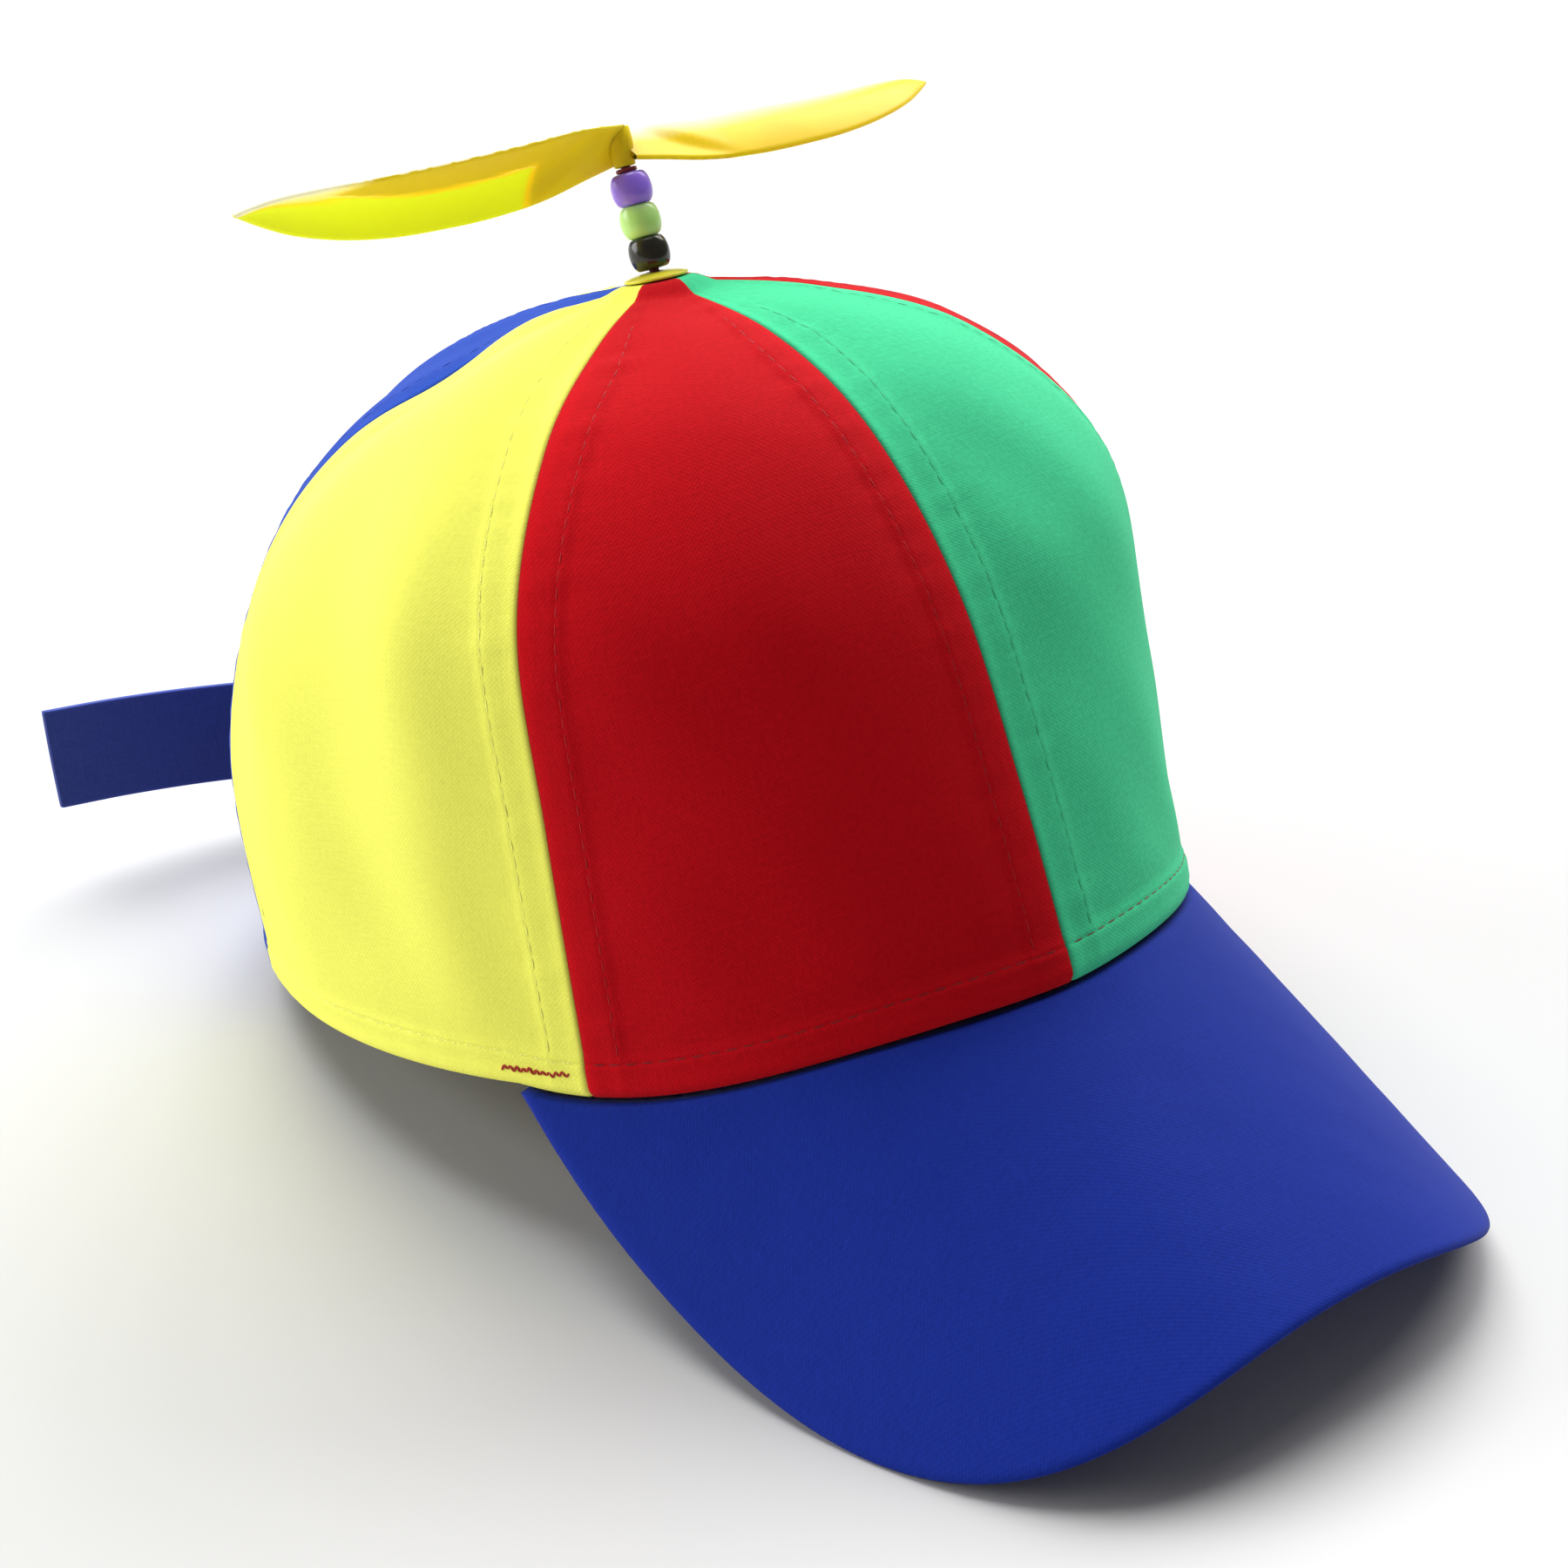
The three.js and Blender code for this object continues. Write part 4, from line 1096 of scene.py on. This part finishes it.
# %% Plastic materials
# Painted glare: how far across a blade its pale high edge starts and ends.
PAINTED_GLARE_FROM = 0.45
PAINTED_GLARE_TO = 0.85
DULL_PATCHES = 0.06
SHRINK_WAVES = 0.2 * MM
BLUE_REACH = 0.4


def moulded_plastic(name, code, roughness, shine=0.5, glow=0.0, reach=3.0, painted_light_tones=()):
    """Glossy moulded plastic. glow is how much light it lets through, to a depth of reach mm.
    The last argument holds painted light for a blade: painted lime where its attribute is above 0,
    for light coming through, painted ochre shade below 0, and a painted pale glare at its high
    edge."""
    material, tree, shader = new_material(name)
    colour = linear(code)
    place = add(tree, "TexCoord").outputs["Object"]
    flow = add(tree, "TexNoise", {"Vector": place, "Scale": 120, "Detail": 2}).outputs["Fac"]
    skin = add(tree, "TexNoise", {"Vector": place, "Scale": 900, "Detail": 2}).outputs["Fac"]
    tint = mixed(tree, flow, shade(colour, 0.9), shade(colour, 1.1))
    # Painted light for the blades: lime for light coming through, ochre for shade, pale for glare.
    if painted_light_tones:
        wear_and_painted_light = add(tree, "Attribute", attribute_name="wear_and_painted_light").outputs["Fac"]
        for sign, tone in zip((1, -1), painted_light_tones):
            part = calculate(tree, "MULTIPLY", wear_and_painted_light, sign, clamp=True)
            tint = mixed(tree, part, tint, linear(tone))
        share = add(tree, "UVMap", uv_map="cut").outputs[0]
        across = add(tree, "SeparateXYZ", {0: share}).outputs[0]
        # Painted glare: the high edge is painted pale, on the upper side and at the underside's
        # tip.
        limits = {"Value": across, "From Min": PAINTED_GLARE_FROM, "From Max": PAINTED_GLARE_TO}
        painted_glare = add(tree, "MapRange", limits).outputs[0]
        painted_glare = calculate(tree, "SUBTRACT", painted_glare, calculate(tree, "ABSOLUTE", wear_and_painted_light), clamp=True)
        tint = mixed(tree, painted_glare, tint, linear(painted_light_tones[2]))
    tree.links.new(tint, shader.inputs["Base Color"])
    dull = calculate(tree, "MULTIPLY_ADD", skin, 2 * DULL_PATCHES)
    dull.node.inputs[2].default_value = roughness - DULL_PATCHES
    tree.links.new(dull, shader.inputs["Roughness"])
    bump = add(tree, "Bump", {"Height": flow, "Strength": 0.2, "Distance": SHRINK_WAVES})
    tree.links.new(bump.outputs["Normal"], shader.inputs["Normal"])
    shader.inputs["IOR"].default_value = 1.5
    shader.inputs["Specular IOR Level"].default_value = shine
    if glow:
        shader.inputs["Subsurface Weight"].default_value = glow
        depth = reach * MM
        shader.inputs["Subsurface Radius"].default_value = (depth, depth, depth * BLUE_REACH)
        shader.inputs["Subsurface Scale"].default_value = 1.0
    return material


PLASTICS = {
    # The propeller's three extra colours are painted light: lime light coming through, ochre shade,
    # pale glare.
    "propeller": moulded_plastic(
        "yellow_polypropylene_moulded_painted_light", "f8cc1c", 0.4, shine=0.12, glow=0.6, reach=4,
        painted_light_tones=("dcec2c", "c8b024", "fff4d8"),
    ),
    "plate": moulded_plastic("yellow_polystyrene_clear_moulded", "e8da3c", 0.14, glow=0.6),
    "black": moulded_plastic("black_polystyrene_moulded", "2a2820", 0.2),
    "green": moulded_plastic("lime_polystyrene_moulded", "c6ff98", 0.25, glow=0.85),
    "purple": moulded_plastic("purple_polystyrene_moulded", "a07cff", 0.25, glow=0.85),
    "red": moulded_plastic("dark_red_nylon_moulded", "8a2330", 0.4),
}

# %% [markdown]
# ## Plate, beads and pin
# Round pieces are spun: a few vertices of the outline are turned once round the pin's axis. Beads
# of this kind are barrels with a bore, pressed from both sides, so their ends are flat. Each bead
# is drawn a little longer than its solid at both ends, so that they all but touch.

# %% Spin the plate, the beads and the pin
PIN_RADIUS = 0.9
PIN_BORE = 1.2
PIN_HEAD_RADIUS = 1.5
PIN_HEAD_HEIGHT = 0.8
PLATE_HEIGHT = 1.2
BEAD_RADIUS = 3.65
BEAD_HEIGHT = 5.45
BEAD_FACE = 0.6
BEAD_TOUCH = 0.12
BEAD_BULGE = 0.85
WASHER_RADIUS = 1.9
WASHER_HEIGHT = 0.7
HUB_RADIUS = 2.5
HUB_FOOT_RADIUS = 1.9
HUB_HEIGHT = 6.8
PIN_TILT = math.radians(12.3)
LEAN = PIN_TILT - PLATE_TILT
PLATE_FACE = 0.45 * PLATE_RADIUS
BEADS_BOTTOM = PLATE_HEIGHT * math.cos(LEAN) + PLATE_FACE * math.sin(LEAN) + GAP
WASHER_BOTTOM = BEADS_BOTTOM + 3 * (BEAD_HEIGHT + GAP)
HUB_BOTTOM = WASHER_BOTTOM + WASHER_HEIGHT + GAP
SPIN_STEPS = 64
SPIN_MERGE = 0.002 * MM

spin_joint = frame["joints"][0]
stem_base = Vector(spin_joint["pos_m"])
stem_up = Vector(spin_joint["axis"]).normalized()
stem_right = (Vector((1, 0, 0)) - stem_up.x * stem_up).normalized()
stem_axes = Matrix((stem_right, stem_up.cross(stem_right), stem_up)).transposed().to_4x4()
STEM = Matrix.Translation(stem_base) @ stem_axes
PLATE_PLACE = Matrix.Translation(stem_base) @ Matrix.Rotation(-CAP_TILT - PLATE_TILT, 4, "X")


def spun(name, outline, material, body="hat", bottom=0.0, place=STEM):
    """A closed ring from an outline of (radius, height) in mm, spun round place's upright axis."""
    bm = bmesh.new()
    verts = [bm.verts.new(Vector((r, 0, z + bottom)) * MM) for r, z in outline]
    edges = [bm.edges.new((a, b)) for a, b in zip(verts, verts[1:] + verts[:1])]
    bmesh.ops.spin(
        bm, geom=verts + edges, axis=(0, 0, 1), cent=(0, 0, 0),
        angle=2 * math.pi, steps=SPIN_STEPS, use_merge=True,
    )
    bmesh.ops.remove_doubles(bm, verts=bm.verts[:], dist=SPIN_MERGE)
    bmesh.ops.recalc_face_normals(bm, faces=bm.faces[:])
    bmesh.ops.transform(bm, matrix=place, verts=bm.verts[:])
    return finish_mesh(bm, name, material, body)


def rounded(corners, radius, steps=4):
    """An outline whose corners, given as (radius, height), are rounded by radius."""
    line = []
    for i in range(len(corners)):
        here, before, after = (Vector(corners[k % len(corners)]) for k in (i, i - 1, i + 1))
        one, two = before - here, after - here
        cut = min(radius, one.length * 0.45, two.length * 0.45)
        start, end = here + one.normalized() * cut, here + two.normalized() * cut
        for k in range(steps + 1):
            t = k / steps
            line.append(tuple(start * (1 - t) ** 2 + here * 2 * t * (1 - t) + end * t ** 2))
    return line


PLATE_BORE = PIN_BORE + PLATE_HEIGHT * math.tan(LEAN)
PLATE_CORNERS = [
    (PLATE_BORE, 0), (PLATE_RADIUS, 0), (PLATE_RADIUS, PLATE_HEIGHT * 0.4),
    (PLATE_RADIUS * 0.72, PLATE_HEIGHT * 0.8), (PLATE_FACE, PLATE_HEIGHT),
    (PLATE_BORE, PLATE_HEIGHT),
]
plate = spun("plate_disc", rounded(PLATE_CORNERS, 0.35), PLASTICS["plate"], place=PLATE_PLACE)
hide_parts("base_plate")


def bead_outline():
    face = BEAD_RADIUS * BEAD_FACE
    low, high = -BEAD_TOUCH, BEAD_HEIGHT + BEAD_TOUCH
    outer = []
    for angle in np.radians(np.linspace(-90, 90, 25)):
        reach = face + (BEAD_RADIUS - face) * math.cos(angle) ** BEAD_BULGE
        outer.append((reach, low + (high - low) / 2 * (1 + math.sin(angle))))
    mouth = PIN_BORE + 0.25
    bore = [(mouth, high), (PIN_BORE, high - 0.3), (PIN_BORE, low + 0.3), (mouth, low)]
    return outer + bore


for i, colour in enumerate(("black", "green", "purple")):
    bottom = BEADS_BOTTOM + i * (BEAD_HEIGHT + GAP)
    bead = spun("bead_" + colour + "_barrel", bead_outline(), PLASTICS[colour], bottom=bottom)
    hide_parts("bead_" + colour)

WASHER_CORNERS = [
    (PIN_BORE, 0), (WASHER_RADIUS, 0), (WASHER_RADIUS, WASHER_HEIGHT), (PIN_BORE, WASHER_HEIGHT),
]
washer = spun("washer_ring", rounded(WASHER_CORNERS, 0.2), PLASTICS["red"], bottom=WASHER_BOTTOM)
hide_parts("washer_red")

PANEL_WALL = 1.2
PIN_FOOT_RADIUS = 3.2
CLOTH_ALONG_PIN = (GAP + PANEL_WALL) * math.cos(PLATE_TILT) / math.cos(LEAN)
PIN_FOOT_TOP = -(CLOTH_ALONG_PIN + PIN_FOOT_RADIUS * math.tan(LEAN) + GAP)
PIN_FOOT = PIN_FOOT_TOP - PIN_HEAD_HEIGHT
PIN_TOP = HUB_BOTTOM + HUB_HEIGHT
PIN_CORNERS = [
    (0.01, PIN_FOOT), (PIN_FOOT_RADIUS, PIN_FOOT), (PIN_FOOT_RADIUS, PIN_FOOT_TOP),
    (PIN_RADIUS, PIN_FOOT_TOP), (PIN_RADIUS, PIN_TOP - PIN_HEAD_HEIGHT),
    (PIN_HEAD_RADIUS, PIN_TOP - PIN_HEAD_HEIGHT), (PIN_HEAD_RADIUS * 0.7, PIN_TOP - 0.16),
    (0.01, PIN_TOP),
]
pin = spun("pin_rod", rounded(PIN_CORNERS, 0.15, 2), PLASTICS["red"])
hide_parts("pin")

# %% [markdown]
# ## The propeller
# The propeller is moulded in one piece: two thin blades, twisted like an aeroplane's, on a small
# hub. Near the hub each blade is flat, and it turns into its hollow curve at a slanted crease.
# Its outline is a short table of shares of the blade's length and width, and one smooth curve
# passes them. The lime and ochre of the underside are painted: lime as daylight coming through,
# ochre as shade at the root and along the high edge.

# %% Build the propeller
BLADE_LENGTH = 88.0
BLADE_WIDTH = 18.0
BLADE_THICKNESS = 1.0
BLADE_CAMBER = 2.2
BLADE_ROOT_PITCH = 48.8
BLADE_TIP_PITCH = 21.6
BLADE_HEADING = math.radians(11.5)
BLADE_SEAT = 4.3
BLADE_NOSE = 0.6
BLADE_ROWS = 90
BLADE_COLUMNS = 27
ROOT_CAMBER = 0.55
ROOT_SHARE = 0.3
BLADE_TABLE = np.array([
    # along, high, low, camber
    (0.0, 0.198, 0.266, 0), (0.07, 0.227, 0.362, 0), (0.16, 0.229, 0.506, 0.2),
    (0.28, 0.194, 0.631, 0.7), (0.42, 0.165, 0.697, 1), (0.56, 0.147, 0.712, 1),
    (0.7, 0.142, 0.628, 1), (0.82, 0.152, 0.46, 0.9), (0.92, 0.124, 0.232, 0.6),
    (1.0, 0.018, 0.011, 0),
])


def blade_colours(along, across):
    """Painted light on the underside: 1 where it is painted lime, as light coming through,
    -1 where it is painted ochre shade, and 0 at the painted pale glare of its high tip.
    """
    # Painted shade band: the ochre along the high edge reaches further in near the middle of the
    # blade.
    shade_band_edge = 0.8 - 0.35 * ridge(along, 0.45, 0.35)
    lime = smooth(along, 0.2, 0.24) * (1 - smooth(across, shade_band_edge, shade_band_edge + 0.08))
    painted_glare_tip = smooth(along, 0.66, 0.8) * smooth(across, 0.42, 0.62)
    return (2 * lime - 1) * (1 - painted_glare_tip)


def blade_sheet():
    """The blade's middle surface along +X, in the hub's frame, with its normals, the distance
    from its edges, the underside's painted light and shade, and the share of the way across and
    along."""
    along = (1 - (1 - np.linspace(0, 1, BLADE_ROWS)) ** 1.25)[:, None]
    across = (1 - np.cos(np.linspace(0, np.pi, BLADE_COLUMNS)))[None] / 2
    shape = through(BLADE_TABLE[:, 1:], BLADE_TABLE[:, 0], along[:, 0])
    high, low, camber = (shape[:, i:i + 1] for i in range(3))
    crease = 0.225 - 0.15 * across - 0.04 * np.sin(np.pi * across)
    bowed = smooth(along, crease - 0.004, crease + 0.05)
    arch = 1 - (2 * across - 1) ** 2
    bow = BLADE_CAMBER * np.maximum(camber, ROOT_CAMBER * (along < ROOT_SHARE)) * arch * bowed
    tilt = np.radians(BLADE_ROOT_PITCH + (BLADE_TIP_PITCH - BLADE_ROOT_PITCH) * along)
    chord = (-low + (high + low) * across) * BLADE_WIDTH
    points = np.stack([
        np.broadcast_to(along * BLADE_LENGTH, chord.shape),
        chord * np.cos(tilt) - bow * np.sin(tilt),
        chord * np.sin(tilt) + bow * np.cos(tilt) + BLADE_SEAT,
    ], -1)
    normal = np.cross(np.gradient(points, axis=0), np.gradient(points, axis=1))
    normal /= np.maximum(np.linalg.norm(normal, axis=-1, keepdims=True), 1e-9)
    inside = (high + low) * BLADE_WIDTH * np.minimum(across, 1 - across)
    inside = np.minimum(inside, (1 - along) * BLADE_LENGTH)
    share = np.stack(np.broadcast_arrays(across, along), -1) / MM
    return points, normal, inside, blade_colours(along, across), share


def build_propeller():
    points, normal, inside, colours, share = blade_sheet()
    near = np.clip(inside / BLADE_NOSE, 0, 1)
    half = BLADE_THICKNESS / 2 * np.sqrt(1 - (1 - near) ** 2)
    bm = bmesh.new()
    for turn in (0, math.pi):
        for side in (1, -1):
            sheet, ordered = grid_sheet(*points.shape[:2])
            shell = points + normal * (side * half)[..., None]
            # Only the underside carries the painted lime light and ochre shade; the upper side gets
            # 0.
            place_sheet(sheet, ordered, shell, share, colours * (side < 0))
            if side < 0:
                bmesh.ops.reverse_faces(sheet, faces=sheet.faces[:])
            spin = Matrix.Rotation(turn, 3, "Z")
            bmesh.ops.rotate(sheet, verts=sheet.verts[:], cent=(0, 0, 0), matrix=spin)
            part = bpy.data.meshes.new("blade_side")
            sheet.to_mesh(part)
            sheet.free()
            bm.from_mesh(part)
            bpy.data.meshes.remove(part)
    bmesh.ops.remove_doubles(bm, verts=bm.verts[:], dist=MERGE_WITHIN)
    bmesh.ops.recalc_face_normals(bm, faces=bm.faces[:])
    turned = Matrix.Translation((0, 0, HUB_BOTTOM * MM)) @ Matrix.Rotation(BLADE_HEADING, 4, "Z")
    bmesh.ops.transform(bm, matrix=STEM @ turned, verts=bm.verts[:])
    return finish_mesh(bm, "propeller_blades", PLASTICS["propeller"], "propeller")


blades = build_propeller()
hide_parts("propeller")
RECESS_BOTTOM = HUB_HEIGHT - PIN_HEAD_HEIGHT - GAP
RECESS_RADIUS = PIN_HEAD_RADIUS + GAP
HUB_CORNERS = [
    (PIN_BORE, 0), (HUB_FOOT_RADIUS, 0), (HUB_RADIUS, BLADE_SEAT), (HUB_RADIUS, HUB_HEIGHT),
    (RECESS_RADIUS, HUB_HEIGHT), (RECESS_RADIUS, RECESS_BOTTOM), (PIN_BORE, RECESS_BOTTOM),
]
hub_outline = rounded(HUB_CORNERS, 0.3)
hub = spun("propeller_hub", hub_outline, PLASTICS["propeller"], "propeller", HUB_BOTTOM)
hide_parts("propeller")
